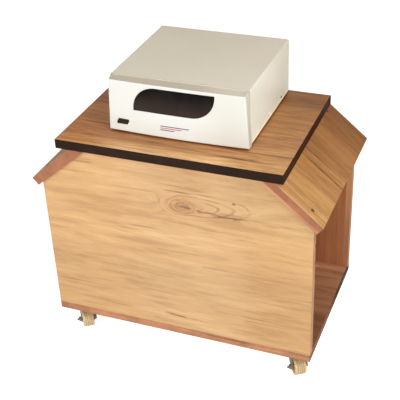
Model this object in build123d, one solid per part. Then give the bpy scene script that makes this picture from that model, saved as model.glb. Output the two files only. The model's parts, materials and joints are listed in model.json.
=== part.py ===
from build123d import *
import os
from math import cos, radians, sin, sqrt, tan

# Home backup-power unit standing on its wooden battery trolley.
# Millimetres, +Z up, +X to the right, -Y towards the front. The floor is z = 0 and the
# origin is under the middle of the whole object.

os.makedirs("parts", exist_ok=True)

# ---------------------------------------------------------------- trolley boards
body_width = 600.0            # between the two open ends
body_depth = 352.7            # over the outer faces of the front and back panels
base_thickness = 18.5
panel_thickness = 18.5
shoulder_height = 344.0       # top of the upright panel ends, above the base board's underside
panel_height = 447.0          # top of the panels, above the base board's underside
slope_angle = 40.16           # of the sloping shoulders, from level
wing_thickness = 20.6
wing_overhang = 10.2          # past the shoulder, along the slope
wing_front_proud = 6.8        # wing edge in front of the front panel
wing_back_overhang = 21.65    # wing edge behind the back panel
top_width = 487.2
top_back_inset = 17.55        # top board's back edge, in from the back panel's outer face
top_thickness = 20.2
top_front_overhang = 21.65
edge_band = 1.0               # black edging strip

bracket_leg = 30.0            # angle brackets under the top board
bracket_width = 24.0
bracket_sheet = 2.0
bracket_inset = 60.0          # bracket centre, in from the panel's top corner

# ---------------------------------------------------------------- casters
caster_height = 57.0
caster_inset_x = 42.0         # swivel axis, in from the open ends
caster_inset_y = 39.35        # swivel axis, in from the front and back faces
caster_trail = 20.0
caster_headings = {"front_left": -56.0, "front_right": -56.0, "rear_left": 128.0, "rear_right": 128.0}
plate_size = 46.0
plate_thickness = 2.0
race_radius = 16.0
race_height = 6.0
kingpin_radius = 4.0
kingpin_nut = 2.5
kingpin_flats = 11.0
kingpin_clearance = 0.08
wheel_radius = 20.0
wheel_width = 25.6
wheel_side_clearance = 0.9
axle_radius = 3.0
axle_clearance = 0.08
fork_sheet = 2.5
fork_leg_radius = 8.0
fork_bend = 2.0
bridge_front = 14.0           # fork bridge, ahead of the swivel axis on the trail side
bridge_back = 13.0
bolt_head = 4.0
bolt_flats = 10.0
nut_height = 5.0

# ---------------------------------------------------------------- power unit, outside
unit_width = 296.5
unit_depth = 280.0
unit_height = 118.0
unit_offset_x = 2.0           # from the middle of the trolley
unit_front_set_back = 68.0    # fascia, behind the top board's front edge
foot_height = 5.0
foot_size = 20.0
foot_inset = 32.0
cover_sheet = 1.0
cover_bend = 4.0
tray_sheet = 1.2
tray_lip = 16.0
cover_gap = 0.3               # cover wall to tray lip
fascia_depth = 17.0
fascia_wall = 2.5
fascia_drop = 5.5             # fascia's front edge, below the cover's top
fascia_top_width = 290.5
fascia_bottom_width = 303.0
fascia_edge = 2.5
fascia_crown = 5.0            # middle of the front, ahead of its two ends
window_width = 175.0
window_height = 53.5
window_round = 50.0
window_middle_x = -5.5        # from the unit's middle
window_bottom = 52.0          # above the tray's underside
window_sink = 0.4             # window face, behind the fascia's face
window_plate = 2.0
window_ledge = 3.0
button_width = 25.0
button_height = 11.5
button_slant = 5.5
button_round = 2.6
button_middle_x = -118.5
button_middle_z = 22.4
button_proud = 1.2
button_travel = 2.5
button_clearance = 0.3
button_collar = 2.0
button_collar_lip = 1.5
stem_size = 5.0
stem_clearance = 0.1
stem_entry = 1.0              # stem inside the switch at rest
switch_size = 15.0

# ---------------------------------------------------------------- power unit, vents
vent_slot = 3.0
vent_length = 32.0
vent_pitch = 12.0
vent_count = 10
vent_rows = 2
vent_row_gap = 10.0

# ---------------------------------------------------------------- power unit, back wall
fan_size = 80.0
fan_depth = 25.0
fan_bore = 38.5
fan_hub = 16.0
fan_blade_gap = 1.2
fan_blade_sheet = 2.0
fan_blade_pitch = 32.0
fan_blades = 7
fan_shaft = 1.5
fan_shaft_clearance = 0.05
fan_end_gap = 0.5             # hub to strut, along the shaft
fan_middle_x = -84.0
fan_middle_z = 58.0
fan_strut = 4.0
fan_spoke_root = 0.5          # spoke end, inside the frame's ring
fan_blade_root = 1.0          # blade foot, inside the hub
grille_slot = 4.0
grille_pitch = 7.0
grille_count = 9
socket_width = 50.0
socket_height = 48.0
socket_depth = 20.0
socket_flange = 3.0
socket_body = 40.0
socket_middle_x = 92.0
socket_middle_z = 78.0
live_hole_radius = 2.65
earth_hole_radius = 3.65
live_spacing = 19.0
earth_offset = 22.2
gland_flats = 19.0
gland_thread = 7.0
gland_bore = 4.0
gland_reach = 9.0             # flange, behind the wall
gland_tail = 8.0              # thread, inside the wall
breaker_body_width = 15.0
breaker_body_height = 30.0
breaker_depth = 24.0
breaker_bezel = 18.0
breaker_bezel_depth = 4.0
breaker_nose = 12.0
breaker_button_radius = 3.2
breaker_button_proud = 3.0
breaker_travel = 4.0
breaker_button_guide = 5.0    # button left in its hole once it has popped out
breaker_clearance = 0.08
breaker_middle_x = 22.0
breaker_middle_z = 84.0
gland_middle_x = 22.0
gland_middle_z = 26.0
terminal_spacing = 38.0
terminal_middle_x = 92.0
terminal_middle_z = 26.0
terminal_block_height = 24.0
terminal_block_width = 74.0
terminal_block_depth = 10.0
terminal_slot_height = 8.0
stud_radius = 3.0
stud_length = 16.0
stud_base = 4.0
stud_flats = 10.0
seat_clearance = 0.2          # round a fixed part in a sheet-metal cut-out
cut_past = 1.0                # how far each cut runs on past the faces that it opens

# ---------------------------------------------------------------- power unit, inside
core_side = 19.0              # outer legs
core_height = 92.0
core_stack = 62.0
core_leg = 38.0
core_window = 19.0
core_yoke = 19.0
winding_gap = 0.6
core_middle_x = -72.0
core_middle_y = 0.0
clamp_sheet = 2.0
clamp_foot = 16.0
clamp_width = 30.0
board_width = 132.0
board_depth = 196.0
board_thickness = 1.6
board_middle_x = 68.0
board_middle_y = 4.0
standoff_height = 8.0
standoff_flats = 6.0
standoff_inset = 7.0
sink_length = 120.0
sink_height = 42.0
sink_web = 4.0
sink_fin = 1.6
sink_fin_reach = 18.0
sink_fins = 4
sink_offset = 34.0            # heat sinks either side of the board's middle
device_width = 10.2
device_height = 15.5
device_thickness = 4.6
device_lift = 5.0
device_lead = 1.2
device_pitch = 24.0
devices_per_sink = 4
capacitor_radius = 11.0
capacitor_height = 36.0
capacitor_pitch = 30.0
capacitor_count = 2
capacitor_inset = 22.0
relay_width = 28.0
relay_depth = 12.5
relay_height = 16.0
relay_pitch = 34.0
relay_inset = 20.0
relay_count = 3
display_board_width = 150.0
display_board_height = 30.0
wire_slot_width = 90.0        # through the front bulkhead, behind the display board
wire_slot_height = 12.0
led_width = 5.0
led_thickness = 2.0
led_height = 7.0
led_pitch = 20.0
led_count = 6

# ---------------------------------------------------------------- worked-out places
base_bottom = caster_height
base_top = base_bottom + base_thickness
front_y = -body_depth / 2
back_y = body_depth / 2
shoulder_z = base_bottom + shoulder_height
panel_top = base_bottom + panel_height
slope = radians(slope_angle)
half_body = body_width / 2
half_crown = half_body - (panel_top - shoulder_z) / tan(slope)
wing_reach = wing_thickness / sin(slope)
top_top = panel_top + top_thickness
top_front = front_y - top_front_overhang
top_back = back_y - top_back_inset
unit_bottom = top_top + foot_height
unit_front = top_front + unit_front_set_back
unit_back = unit_front + unit_depth
unit_top = unit_bottom + unit_height
tray_front = unit_front + fascia_depth
tray_half = unit_width / 2 - cover_sheet - cover_gap
tray_floor = unit_bottom + tray_sheet
wall_inside = unit_back - tray_sheet
wall_top = unit_top - cover_sheet
board_bottom = tray_floor + standoff_height
board_top = board_bottom + board_thickness


# ---------------------------------------------------------------- helpers
def block(x0, x1, y0, y1, z0, z1):
    """Box between two corners."""
    return Pos((x0 + x1) / 2, (y0 + y1) / 2, (z0 + z1) / 2) * Box(x1 - x0, y1 - y0, z1 - z0)


def along_y(sketch, y0, y1):
    """Sketch drawn in X and Z, made solid from y0 to y1."""
    return extrude(Plane.XZ.offset(-y0) * sketch, amount=y1 - y0, dir=(0, 1, 0))


def along_z(sketch, z0, z1):
    """Sketch drawn in X and Y, made solid from z0 up to z1."""
    return extrude(Pos(0, 0, z0) * sketch, amount=z1 - z0)


def outline(*points):
    """Closed face through the given corners."""
    return make_face(Polyline(*points, close=True))


def rod_y(x, z, radius, y0, y1):
    """Round bar along Y."""
    return along_y(Pos(x, z) * Circle(radius), y0, y1)


def hexagon(flats):
    """Hexagon measured across its flats."""
    return RegularPolygon(flats / 2, 6, major_radius=False)


def save(node, *solids):
    """Write one sub-part, given as one solid or a group of separate ones."""
    pieces = []
    for solid in solids:
        pieces += solid.solids()
    shape = pieces[0] if len(pieces) == 1 else Compound(children=pieces)
    export_step(shape, f"parts/{node}.step")


# ---------------------------------------------------------------- trolley
def panel_outline():
    """Upright sides, then sloping shoulders up to the level top edge."""
    return outline((-half_body, base_top), (half_body, base_top), (half_body, shoulder_z),
                   (half_crown, panel_top), (-half_crown, panel_top), (-half_body, shoulder_z))


def wing_outline():
    """Board section lying on the right shoulder, cut level under the top board."""
    low_x = half_body + wing_overhang * cos(slope)
    low_z = shoulder_z - wing_overhang * sin(slope)
    return outline((half_crown, panel_top), (low_x, low_z),
                   (low_x + wing_thickness * sin(slope), low_z + wing_thickness * cos(slope)),
                   (half_crown + wing_reach, panel_top))


def make_boards():
    inner = half_body - edge_band
    save("base_board", block(-inner, inner, front_y, back_y, base_bottom, base_top))
    save("base_end_bands",
         block(-half_body, -inner, front_y, back_y, base_bottom, base_top),
         block(inner, half_body, front_y, back_y, base_bottom, base_top))

    save("front_panel", along_y(panel_outline(), front_y, front_y + panel_thickness))
    save("back_panel", along_y(panel_outline(), back_y - panel_thickness, back_y))

    wing = along_y(wing_outline(), front_y - wing_front_proud, back_y + wing_back_overhang)
    save("right_wing", wing)
    save("left_wing", wing.mirror(Plane.YZ))

    middle = Pos(0, (top_front + top_back) / 2)
    top_depth = top_back - top_front
    rim = middle * Rectangle(top_width, top_depth)
    core = middle * Rectangle(top_width - 2 * edge_band, top_depth - 2 * edge_band)
    save("top_board", along_z(core, panel_top, top_top))
    save("top_edge_band", along_z(rim - core, panel_top, top_top))


def make_brackets():
    """Angle brackets between the panels' inner faces and the top board."""
    brackets = []
    half = bracket_width / 2
    for x in (-half_crown + bracket_inset, half_crown - bracket_inset):
        for face, way in ((front_y + panel_thickness, 1), (back_y - panel_thickness, -1)):
            section = Plane.YZ * outline((face, panel_top), (face + way * bracket_leg, panel_top),
                                         (face + way * bracket_leg, panel_top - bracket_sheet),
                                         (face + way * bracket_sheet, panel_top - bracket_sheet),
                                         (face + way * bracket_sheet, panel_top - bracket_leg),
                                         (face, panel_top - bracket_leg))
            brackets.append(extrude(Pos(x - half, 0, 0) * section, amount=bracket_width, dir=(1, 0, 0)))
    save("top_brackets", *brackets)


# ---------------------------------------------------------------- casters
race_bottom = caster_height - plate_thickness - race_height
bridge_bottom = race_bottom - fork_sheet
leg_inside = wheel_width / 2 + wheel_side_clearance
leg_outside = leg_inside + fork_sheet


def caster_centres():
    """Swivel axis of each caster."""
    x = half_body - caster_inset_x
    y = body_depth / 2 - caster_inset_y
    return {"front_left": (-x, -y), "front_right": (x, -y), "rear_left": (-x, y), "rear_right": (x, y)}


def caster_plate():
    """Square plate with its pressed race under it."""
    plate_bottom = caster_height - plate_thickness
    plate = along_z(Rectangle(plate_size, plate_size), plate_bottom, caster_height)
    return plate + along_z(Circle(race_radius), race_bottom, plate_bottom)


def caster_kingpin():
    """Pin under the race, through the fork's bridge, with its nut."""
    pin = along_z(Circle(kingpin_radius), bridge_bottom, race_bottom)
    return pin + along_z(hexagon(kingpin_flats), bridge_bottom - kingpin_nut, bridge_bottom)


def caster_fork():
    """Folded fork with its axle bolt clamped through the two legs."""
    bridge = block(-bridge_back, bridge_front, -leg_outside, leg_outside, bridge_bottom, race_bottom)
    axle_place = Pos(caster_trail, wheel_radius)
    foot = axle_place * Circle(fork_leg_radius)
    shoulder = Pos((bridge_front - bridge_back) / 2, (race_bottom + bridge_bottom) / 2)
    shoulder *= Rectangle(bridge_front + bridge_back, fork_sheet)
    leg = make_hull(foot.edges() + shoulder.edges())
    fork = bridge + along_y(leg, -leg_outside, -leg_inside) + along_y(leg, leg_inside, leg_outside)
    bends = fork.edges().filter_by(Axis.X).group_by(Axis.Z)[-1]
    fork = fillet(bends, fork_bend)
    fork -= along_z(Circle(kingpin_radius + kingpin_clearance), bridge_bottom - cut_past,
                    race_bottom + cut_past)
    fork += along_y(axle_place * Circle(axle_radius), -leg_inside, leg_inside)
    fork += along_y(axle_place * hexagon(bolt_flats), leg_outside, leg_outside + bolt_head)
    return fork + along_y(axle_place * hexagon(bolt_flats), -leg_outside - nut_height, -leg_outside)


def caster_wheel():
    """Wide moulded wheel on its axle."""
    ring = Circle(wheel_radius) - Circle(axle_radius + axle_clearance)
    return along_y(Pos(caster_trail, wheel_radius) * ring, -wheel_width / 2, wheel_width / 2)


def make_casters():
    plates, pins = [], []
    for corner, (x, y) in caster_centres().items():
        plates.append(Pos(x, y) * caster_plate())
        pins.append(Pos(x, y) * caster_kingpin())
        place = Pos(x, y) * Rot(0, 0, caster_headings[corner])
        save(f"caster_fork_{corner}", place * caster_fork())
        save(f"caster_wheel_{corner}", place * caster_wheel())
    save("caster_plates", *plates)
    save("caster_kingpins", *pins)


# ---------------------------------------------------------------- power unit, outside
def from_unit(x, z):
    """Absolute X and Z of a place given from the unit's middle and its underside."""
    return unit_offset_x + x, unit_bottom + z


def window_outline(grow=0.0):
    """Leaf shape: two opposite corners sharp, the other two widely rounded."""
    x, z = from_unit(window_middle_x, window_bottom + window_height / 2)
    frame = Rectangle(window_width + 2 * grow, window_height + 2 * grow)
    corners = frame.vertices().sort_by(Axis((0, 0, 0), (1, -1, 0)))
    return Pos(x, z) * fillet([corners[0], corners[-1]], window_round + grow)


def button_outline(grow=0.0, rounded=True):
    """Leaning rectangle."""
    x, z = from_unit(button_middle_x, button_middle_z)
    lean = button_slant / 2
    half = button_width / 2 + grow
    rise = button_height / 2 + grow
    shape = outline((-half - lean, -rise), (half - lean, -rise), (half + lean, rise), (-half + lean, rise))
    if rounded:
        shape = fillet(shape.vertices(), button_round + grow)
    return Pos(x, z) * shape


fascia_depth_at_seat = window_sink + window_plate + fascia_wall
fascia_seat = unit_front + fascia_depth_at_seat
ahead = unit_front - fascia_crown - cut_past


def front_at(x):
    """Y of the crowned front at a place given from the unit's middle."""
    half = fascia_bottom_width / 2
    radius = (half ** 2 + fascia_crown ** 2) / (2 * fascia_crown)
    return unit_front - fascia_crown + radius - sqrt(radius ** 2 - x ** 2)


def behind_front(depth):
    """All the room that lies more than this depth behind the crowned front."""
    half = fascia_bottom_width / 2
    left = unit_offset_x - half
    right = unit_offset_x + half
    face = unit_front + depth
    back = tray_front + cut_past
    curve = ThreePointArc((left, face), (unit_offset_x, face - fascia_crown), (right, face))
    sides = Polyline((right, face), (right, back), (left, back), (left, face))
    return along_z(make_face(curve + sides), unit_bottom - cut_past, unit_top + cut_past)


def make_fascia():
    """Moulded front: crowned and flared, with a sloping ledge, hollow back, window seat and button hole."""
    ledge = unit_top - fascia_drop
    flare = (fascia_bottom_width - fascia_top_width) / 2 / (ledge - unit_bottom)
    half_low = fascia_bottom_width / 2
    half_high = half_low - flare * unit_height
    shape = Pos(unit_offset_x, 0) * outline((-half_low, unit_bottom), (half_low, unit_bottom),
                                            (half_high, unit_top), (-half_high, unit_top))
    body = along_y(shape, ahead, tray_front) & behind_front(0)
    spare = unit_width
    above = unit_top + cut_past
    wedge = Plane.YZ * outline((ahead, ledge), (unit_front - fascia_crown, ledge), (tray_front, unit_top),
                               (tray_front, above), (ahead, above))
    body -= extrude(Pos(-spare, 0, 0) * wedge, amount=2 * spare, dir=(1, 0, 0))
    body = chamfer(body.faces().sort_by(Axis.Y)[0].edges(), fascia_edge)

    inside = fascia_top_width / 2 - fascia_wall
    hollow = block(unit_offset_x - inside, unit_offset_x + inside, ahead, tray_front + cut_past,
                   unit_bottom + fascia_wall, ledge - fascia_wall)
    body -= hollow & behind_front(fascia_depth_at_seat)
    body += along_y(button_outline(button_collar_lip, rounded=False), unit_front, fascia_seat)

    window = along_y(window_outline(), ahead, tray_front)
    plate_back = behind_front(window_sink + window_plate)
    body -= window - plate_back
    body -= along_y(window_outline(-window_ledge), ahead, tray_front)
    body -= along_y(button_outline(button_clearance), ahead, tray_front)
    save("front_fascia", body)
    save("display_window", (window & behind_front(window_sink)) - plate_back)


def make_power_button():
    """Cap held behind the fascia by its collar, with a stem in the switch."""
    x, z = from_unit(button_middle_x, button_middle_z)
    collar_back = fascia_seat + button_collar
    switch_face = collar_back + button_travel + button_clearance
    cap = along_y(button_outline(), front_at(button_middle_x) - button_proud, fascia_seat)
    cap += along_y(button_outline(button_collar_lip, rounded=False), fascia_seat, collar_back)
    cap += along_y(Pos(x, z) * Rectangle(stem_size, stem_size), collar_back, switch_face + stem_entry)
    save("power_button", cap)

    half = switch_size / 2
    body = block(x - half, x + half, switch_face, tray_front, z - half, z + half)
    well = stem_size + 2 * stem_clearance
    well_end = switch_face + stem_entry + button_travel + button_clearance
    save("power_switch", body - along_y(Pos(x, z) * Rectangle(well, well), switch_face - cut_past, well_end))


def wall_cut(sketch):
    """Cut through the back wall."""
    return along_y(sketch, wall_inside - cut_past, unit_back + cut_past)


def wall_outline():
    """Upright sheet that fits under the cover's rounded bends."""
    height = wall_top - unit_bottom
    sheet = Pos(unit_offset_x, unit_bottom + height / 2) * Rectangle(2 * tray_half, height)
    return chamfer(sheet.vertices().group_by(Axis.Y)[-1], cover_bend)


def make_chassis():
    """Folded tray: floor, front bulkhead, back wall with its grille, and side lips."""
    left = unit_offset_x - tray_half
    right = unit_offset_x + tray_half
    tray = block(left, right, tray_front, unit_back, unit_bottom, tray_floor)
    tray += along_y(wall_outline(), wall_inside, unit_back)
    tray += along_y(wall_outline(), tray_front, tray_front + tray_sheet)
    tray += block(left, left + tray_sheet, tray_front, unit_back, unit_bottom, unit_bottom + tray_lip)
    tray += block(right - tray_sheet, right, tray_front, unit_back, unit_bottom, unit_bottom + tray_lip)

    fan_x, fan_z = from_unit(fan_middle_x, fan_middle_z)
    for step in range(grille_count):
        offset_x = (step - (grille_count - 1) / 2) * grille_pitch
        half = sqrt((fan_bore - grille_slot) ** 2 - offset_x ** 2)
        tray -= wall_cut(Pos(fan_x + offset_x, fan_z) * Rectangle(grille_slot, 2 * half))
    body = socket_body + 2 * seat_clearance
    tray -= wall_cut(Pos(*from_unit(socket_middle_x, socket_middle_z)) * Rectangle(body, body))
    tray -= wall_cut(Pos(*from_unit(gland_middle_x, gland_middle_z)) * Circle(gland_thread + seat_clearance))
    nose = breaker_nose + 2 * seat_clearance
    tray -= wall_cut(Pos(*from_unit(breaker_middle_x, breaker_middle_z)) * Rectangle(nose, nose))
    tray -= wall_cut(Pos(*from_unit(terminal_middle_x, terminal_middle_z))
                     * Rectangle(terminal_spacing + stud_flats, terminal_slot_height))
    window_x, window_z = from_unit(window_middle_x, window_bottom + window_height / 2)
    slot = Pos(window_x, window_z) * Rectangle(wire_slot_width, wire_slot_height)
    tray -= along_y(slot, tray_front - cut_past, tray_front + tray_sheet + cut_past)
    save("chassis_tray", tray)


def make_cover():
    """Inverted U of sheet steel with rounded bends and vents in its left wall."""
    x = unit_offset_x
    half = unit_width / 2
    height = unit_top - unit_bottom
    outer = Pos(x, unit_bottom + height / 2) * Rectangle(unit_width, height)
    outer = fillet(outer.vertices().group_by(Axis.Y)[-1], cover_bend)
    inner = Pos(x, unit_bottom + height / 2 - cover_sheet)
    inner *= Rectangle(unit_width - 2 * cover_sheet, height)
    inner = fillet(inner.vertices().group_by(Axis.Y)[-1], cover_bend - cover_sheet)
    cover = along_y(outer - inner, tray_front, unit_back)
    first = (tray_front + unit_back - (vent_count - 1) * vent_pitch) / 2
    for row in range(vent_rows):
        z = unit_bottom + unit_height / 2 + (row - (vent_rows - 1) / 2) * (vent_length + vent_row_gap)
        for step in range(vent_count):
            y = first + step * vent_pitch
            cover -= block(x - half - cut_past, x - half + cover_sheet + cut_past, y - vent_slot / 2,
                           y + vent_slot / 2, z - vent_length / 2, z + vent_length / 2)
    save("top_cover", cover)


def make_feet():
    feet = []
    half = foot_size / 2
    for x in (unit_offset_x - unit_width / 2 + foot_inset, unit_offset_x + unit_width / 2 - foot_inset):
        for y in (unit_front + foot_inset, unit_back - foot_inset):
            feet.append(block(x - half, x + half, y - half, y + half, top_top, unit_bottom))
    save("rubber_feet", *feet)


# ---------------------------------------------------------------- power unit, back wall
def make_fan():
    """Axial fan on the inside of the back wall's grille."""
    x, z = from_unit(fan_middle_x, fan_middle_z)
    centre = Pos(x, z)
    front = wall_inside - fan_depth
    strut_end = front + fan_strut
    frame = along_y(centre * (Rectangle(fan_size, fan_size) - Circle(fan_bore)), front, wall_inside)
    spoke = Rectangle(2 * (fan_bore + fan_spoke_root), fan_strut)
    motor_plate = Rectangle(2 * fan_hub, 2 * fan_hub)
    hole = Circle(fan_shaft + fan_shaft_clearance)
    frame += along_y(centre * (spoke + Rot(0, 0, 90) * spoke + motor_plate - hole), front, strut_end)
    save("fan_frame", frame)

    hub_front = strut_end + fan_end_gap
    hub_back = wall_inside - 2 * fan_end_gap - fan_blade_sheet
    rotor = along_y(centre * Circle(fan_hub), hub_front, hub_back)
    rotor += rod_y(x, z, fan_shaft, front, hub_front)
    root = fan_hub - fan_blade_root
    tip = fan_bore - fan_blade_gap
    chord = (hub_back - hub_front) * cos(radians(fan_blade_pitch))
    blade = Box(fan_blade_sheet, chord, tip - root)
    blade = Pos(0, (hub_front + hub_back) / 2, (tip + root) / 2) * Rot(0, 0, fan_blade_pitch) * blade
    for step in range(fan_blades):
        rotor += Pos(x, 0, z) * Rot(0, step * 360 / fan_blades, 0) * blade
    save("fan_rotor", rotor)


def make_output_socket():
    """Round-pin outlet: flange outside the wall, body through it, three contact holes."""
    x, z = from_unit(socket_middle_x, socket_middle_z)
    face = unit_back + socket_flange
    back = face - socket_depth
    socket = along_y(Pos(x, z) * Rectangle(socket_width, socket_height), unit_back, face)
    socket += along_y(Pos(x, z) * Rectangle(socket_body, socket_body), back, unit_back)
    low = z - earth_offset / 2
    for hole_x, hole_z, radius in ((x - live_spacing / 2, low, live_hole_radius),
                                   (x + live_spacing / 2, low, live_hole_radius),
                                   (x, low + earth_offset, earth_hole_radius)):
        socket -= rod_y(hole_x, hole_z, radius, back - cut_past, face + cut_past)
    save("output_socket", socket)


def make_gland():
    """Bush where the mains lead goes in: hexagon outside the wall, thread through it."""
    x, z = from_unit(gland_middle_x, gland_middle_z)
    gland = along_y(Pos(x, z) * hexagon(gland_flats), unit_back, unit_back + gland_reach)
    gland += rod_y(x, z, gland_thread, wall_inside - gland_tail, unit_back)
    bore = rod_y(x, z, gland_bore, wall_inside - gland_tail - cut_past, unit_back + gland_reach + cut_past)
    save("mains_gland", gland - bore)


def make_breaker():
    """Thermal breaker: body inside the wall, bezel outside it, reset button."""
    x, z = from_unit(breaker_middle_x, breaker_middle_z)
    centre = Pos(x, z)
    face = unit_back + breaker_bezel_depth
    button_back = face - breaker_travel - breaker_button_guide
    body = along_y(centre * Rectangle(breaker_body_width, breaker_body_height), wall_inside - breaker_depth,
                   wall_inside)
    body += along_y(centre * Rectangle(breaker_nose, breaker_nose), wall_inside, unit_back)
    body += along_y(centre * Rectangle(breaker_bezel, breaker_bezel), unit_back, face)
    well = rod_y(x, z, breaker_button_radius + breaker_clearance, button_back, face + cut_past)
    save("breaker_body", body - well)
    save("breaker_button", rod_y(x, z, breaker_button_radius, button_back, face + breaker_button_proud))


def make_terminals():
    """Insulating block over the wall's slot, with two brass battery studs."""
    x, z = from_unit(terminal_middle_x, terminal_middle_z)
    face = unit_back + terminal_block_depth
    save("terminal_block", along_y(Pos(x, z) * Rectangle(terminal_block_width, terminal_block_height),
                                   unit_back, face))
    studs = []
    for side in (-1, 1):
        centre = Pos(x + side * terminal_spacing / 2, z)
        stud = along_y(centre * hexagon(stud_flats), face, face + stud_base)
        studs.append(stud + along_y(centre * Circle(stud_radius), face + stud_base,
                                    face + stud_base + stud_length))
    save("battery_studs", *studs)


# ---------------------------------------------------------------- power unit, inside
def make_transformer():
    """E and I laminations, winding on the middle leg, and the clamp strap."""
    x = unit_offset_x + core_middle_x
    y0 = core_middle_y - core_stack / 2
    y1 = core_middle_y + core_stack / 2
    top = tray_floor + core_height
    window_low = tray_floor + core_yoke
    window_high = top - core_yoke
    half_core = core_leg / 2 + core_window + core_side
    core = block(x - half_core, x + half_core, y0, y1, tray_floor, top)
    for side in (-1, 1):
        middle = x + side * (core_leg + core_window) / 2
        core -= block(middle - core_window / 2, middle + core_window / 2, y0 - cut_past, y1 + cut_past,
                      window_low, window_high)
    save("transformer_core", core)

    inner = Rectangle(core_leg + 2 * winding_gap, core_stack + 2 * winding_gap)
    reach = 2 * (core_window - winding_gap)
    outer = Rectangle(core_leg + reach, core_stack + reach)
    save("transformer_winding", along_z(Pos(x, core_middle_y) * (outer - inner), window_low, window_high))

    outside = half_core + clamp_sheet
    foot_end = half_core + clamp_foot
    strap = outline((-foot_end, tray_floor), (-half_core, tray_floor), (-half_core, top), (half_core, top),
                    (half_core, tray_floor), (foot_end, tray_floor), (foot_end, tray_floor + clamp_sheet),
                    (outside, tray_floor + clamp_sheet), (outside, top + clamp_sheet),
                    (-outside, top + clamp_sheet), (-outside, tray_floor + clamp_sheet),
                    (-foot_end, tray_floor + clamp_sheet))
    save("transformer_clamp", along_y(Pos(x, 0) * strap, core_middle_y - clamp_width / 2,
                                      core_middle_y + clamp_width / 2))


def make_board():
    """Inverter board on its standoffs."""
    x = unit_offset_x + board_middle_x
    y = board_middle_y
    half_x = board_width / 2
    half_y = board_depth / 2
    save("inverter_board", block(x - half_x, x + half_x, y - half_y, y + half_y, board_bottom, board_top))
    posts = []
    for post_x in (x - half_x + standoff_inset, x + half_x - standoff_inset):
        for post_y in (y - half_y + standoff_inset, y + half_y - standoff_inset):
            posts.append(along_z(Pos(post_x, post_y) * hexagon(standoff_flats), tray_floor, board_bottom))
    save("board_standoffs", *posts)


def make_heat_sinks():
    """Finned heat sinks standing on the board, each with its row of transistors."""
    y = board_middle_y
    sinks, devices = [], []
    for side in (-1, 1):
        web_x = unit_offset_x + board_middle_x + side * sink_offset
        inner_face = web_x - side * sink_web / 2
        outer_face = web_x + side * sink_web / 2
        sink = block(*sorted((inner_face, outer_face)), y - sink_length / 2, y + sink_length / 2, board_top,
                     board_top + sink_height)
        fin_pitch = (sink_height - sink_fin) / sink_fins
        for step in range(1, sink_fins + 1):
            fin_z = board_top + step * fin_pitch
            sink += block(*sorted((inner_face, inner_face - side * sink_fin_reach)), y - sink_length / 2,
                          y + sink_length / 2, fin_z, fin_z + sink_fin)
        sinks.append(sink)
        body_span = sorted((outer_face, outer_face + side * device_thickness))
        lead_span = sorted((outer_face + side * device_lead, outer_face + side * 2 * device_lead))
        low = board_top + device_lift
        for step in range(devices_per_sink):
            middle = y + (step - (devices_per_sink - 1) / 2) * device_pitch
            half = device_width / 2
            device = block(*body_span, middle - half, middle + half, low, low + device_height)
            device += block(*lead_span, middle - half / 2, middle + half / 2, board_top, low)
            devices.append(device)
    save("heat_sinks", *sinks)
    save("power_transistors", *devices)


def make_board_parts():
    """Capacitors along the board's back edge and relays along its front edge."""
    x = unit_offset_x + board_middle_x
    cans = []
    for step in range(capacitor_count):
        place = Pos(x + (step - (capacitor_count - 1) / 2) * capacitor_pitch,
                    board_middle_y + board_depth / 2 - capacitor_inset)
        cans.append(along_z(place * Circle(capacitor_radius), board_top, board_top + capacitor_height))
    save("capacitors", *cans)
    relays = []
    for step in range(relay_count):
        place = Pos(x + (step - (relay_count - 1) / 2) * relay_pitch,
                    board_middle_y - board_depth / 2 + relay_inset)
        relays.append(along_z(place * Rectangle(relay_width, relay_depth), board_top,
                              board_top + relay_height))
    save("relays", *relays)


def make_display():
    """Small board behind the window, with its row of light-emitting diodes."""
    x, z = from_unit(window_middle_x, window_bottom + window_height / 2)
    front = tray_front - board_thickness
    save("display_board", along_y(Pos(x, z) * Rectangle(display_board_width, display_board_height), front,
                                  tray_front))
    leds = []
    for step in range(led_count):
        place = Pos(x + (step - (led_count - 1) / 2) * led_pitch, z)
        leds.append(along_y(place * Rectangle(led_width, led_thickness), front - led_height, front))
    save("status_leds", *leds)


make_boards()
make_brackets()
make_casters()
make_fascia()
make_power_button()
make_chassis()
make_cover()
make_feet()
make_fan()
make_output_socket()
make_gland()
make_breaker()
make_terminals()
make_transformer()
make_board()
make_heat_sinks()
make_board_parts()
make_display()
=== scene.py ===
import json
import math
import random

import bmesh
import bpy
from mathutils import Matrix, Vector


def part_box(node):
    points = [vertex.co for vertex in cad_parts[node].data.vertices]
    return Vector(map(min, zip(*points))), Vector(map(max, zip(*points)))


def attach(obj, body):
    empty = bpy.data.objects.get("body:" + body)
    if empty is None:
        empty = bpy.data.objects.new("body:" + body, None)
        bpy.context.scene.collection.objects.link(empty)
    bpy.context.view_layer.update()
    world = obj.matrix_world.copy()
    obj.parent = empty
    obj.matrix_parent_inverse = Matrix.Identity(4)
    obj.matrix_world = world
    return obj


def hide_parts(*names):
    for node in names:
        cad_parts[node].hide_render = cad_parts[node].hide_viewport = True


# Home backup-power unit on its wooden battery trolley: finishes and small parts round the solids.
# Metres, +Z up, +X to the right, -Y towards the front, like the frame.

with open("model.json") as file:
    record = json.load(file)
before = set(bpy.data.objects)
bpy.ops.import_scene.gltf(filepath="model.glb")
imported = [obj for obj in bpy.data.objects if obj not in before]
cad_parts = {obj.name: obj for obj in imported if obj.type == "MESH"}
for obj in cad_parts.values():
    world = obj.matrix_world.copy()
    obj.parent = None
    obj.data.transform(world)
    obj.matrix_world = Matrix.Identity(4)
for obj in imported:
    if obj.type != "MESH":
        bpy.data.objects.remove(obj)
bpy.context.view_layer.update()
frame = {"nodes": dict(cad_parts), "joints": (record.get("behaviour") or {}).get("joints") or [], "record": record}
nodes = frame["nodes"]
joints = {joint["name"]: joint for joint in frame["joints"]}
random.seed(7)

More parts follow.
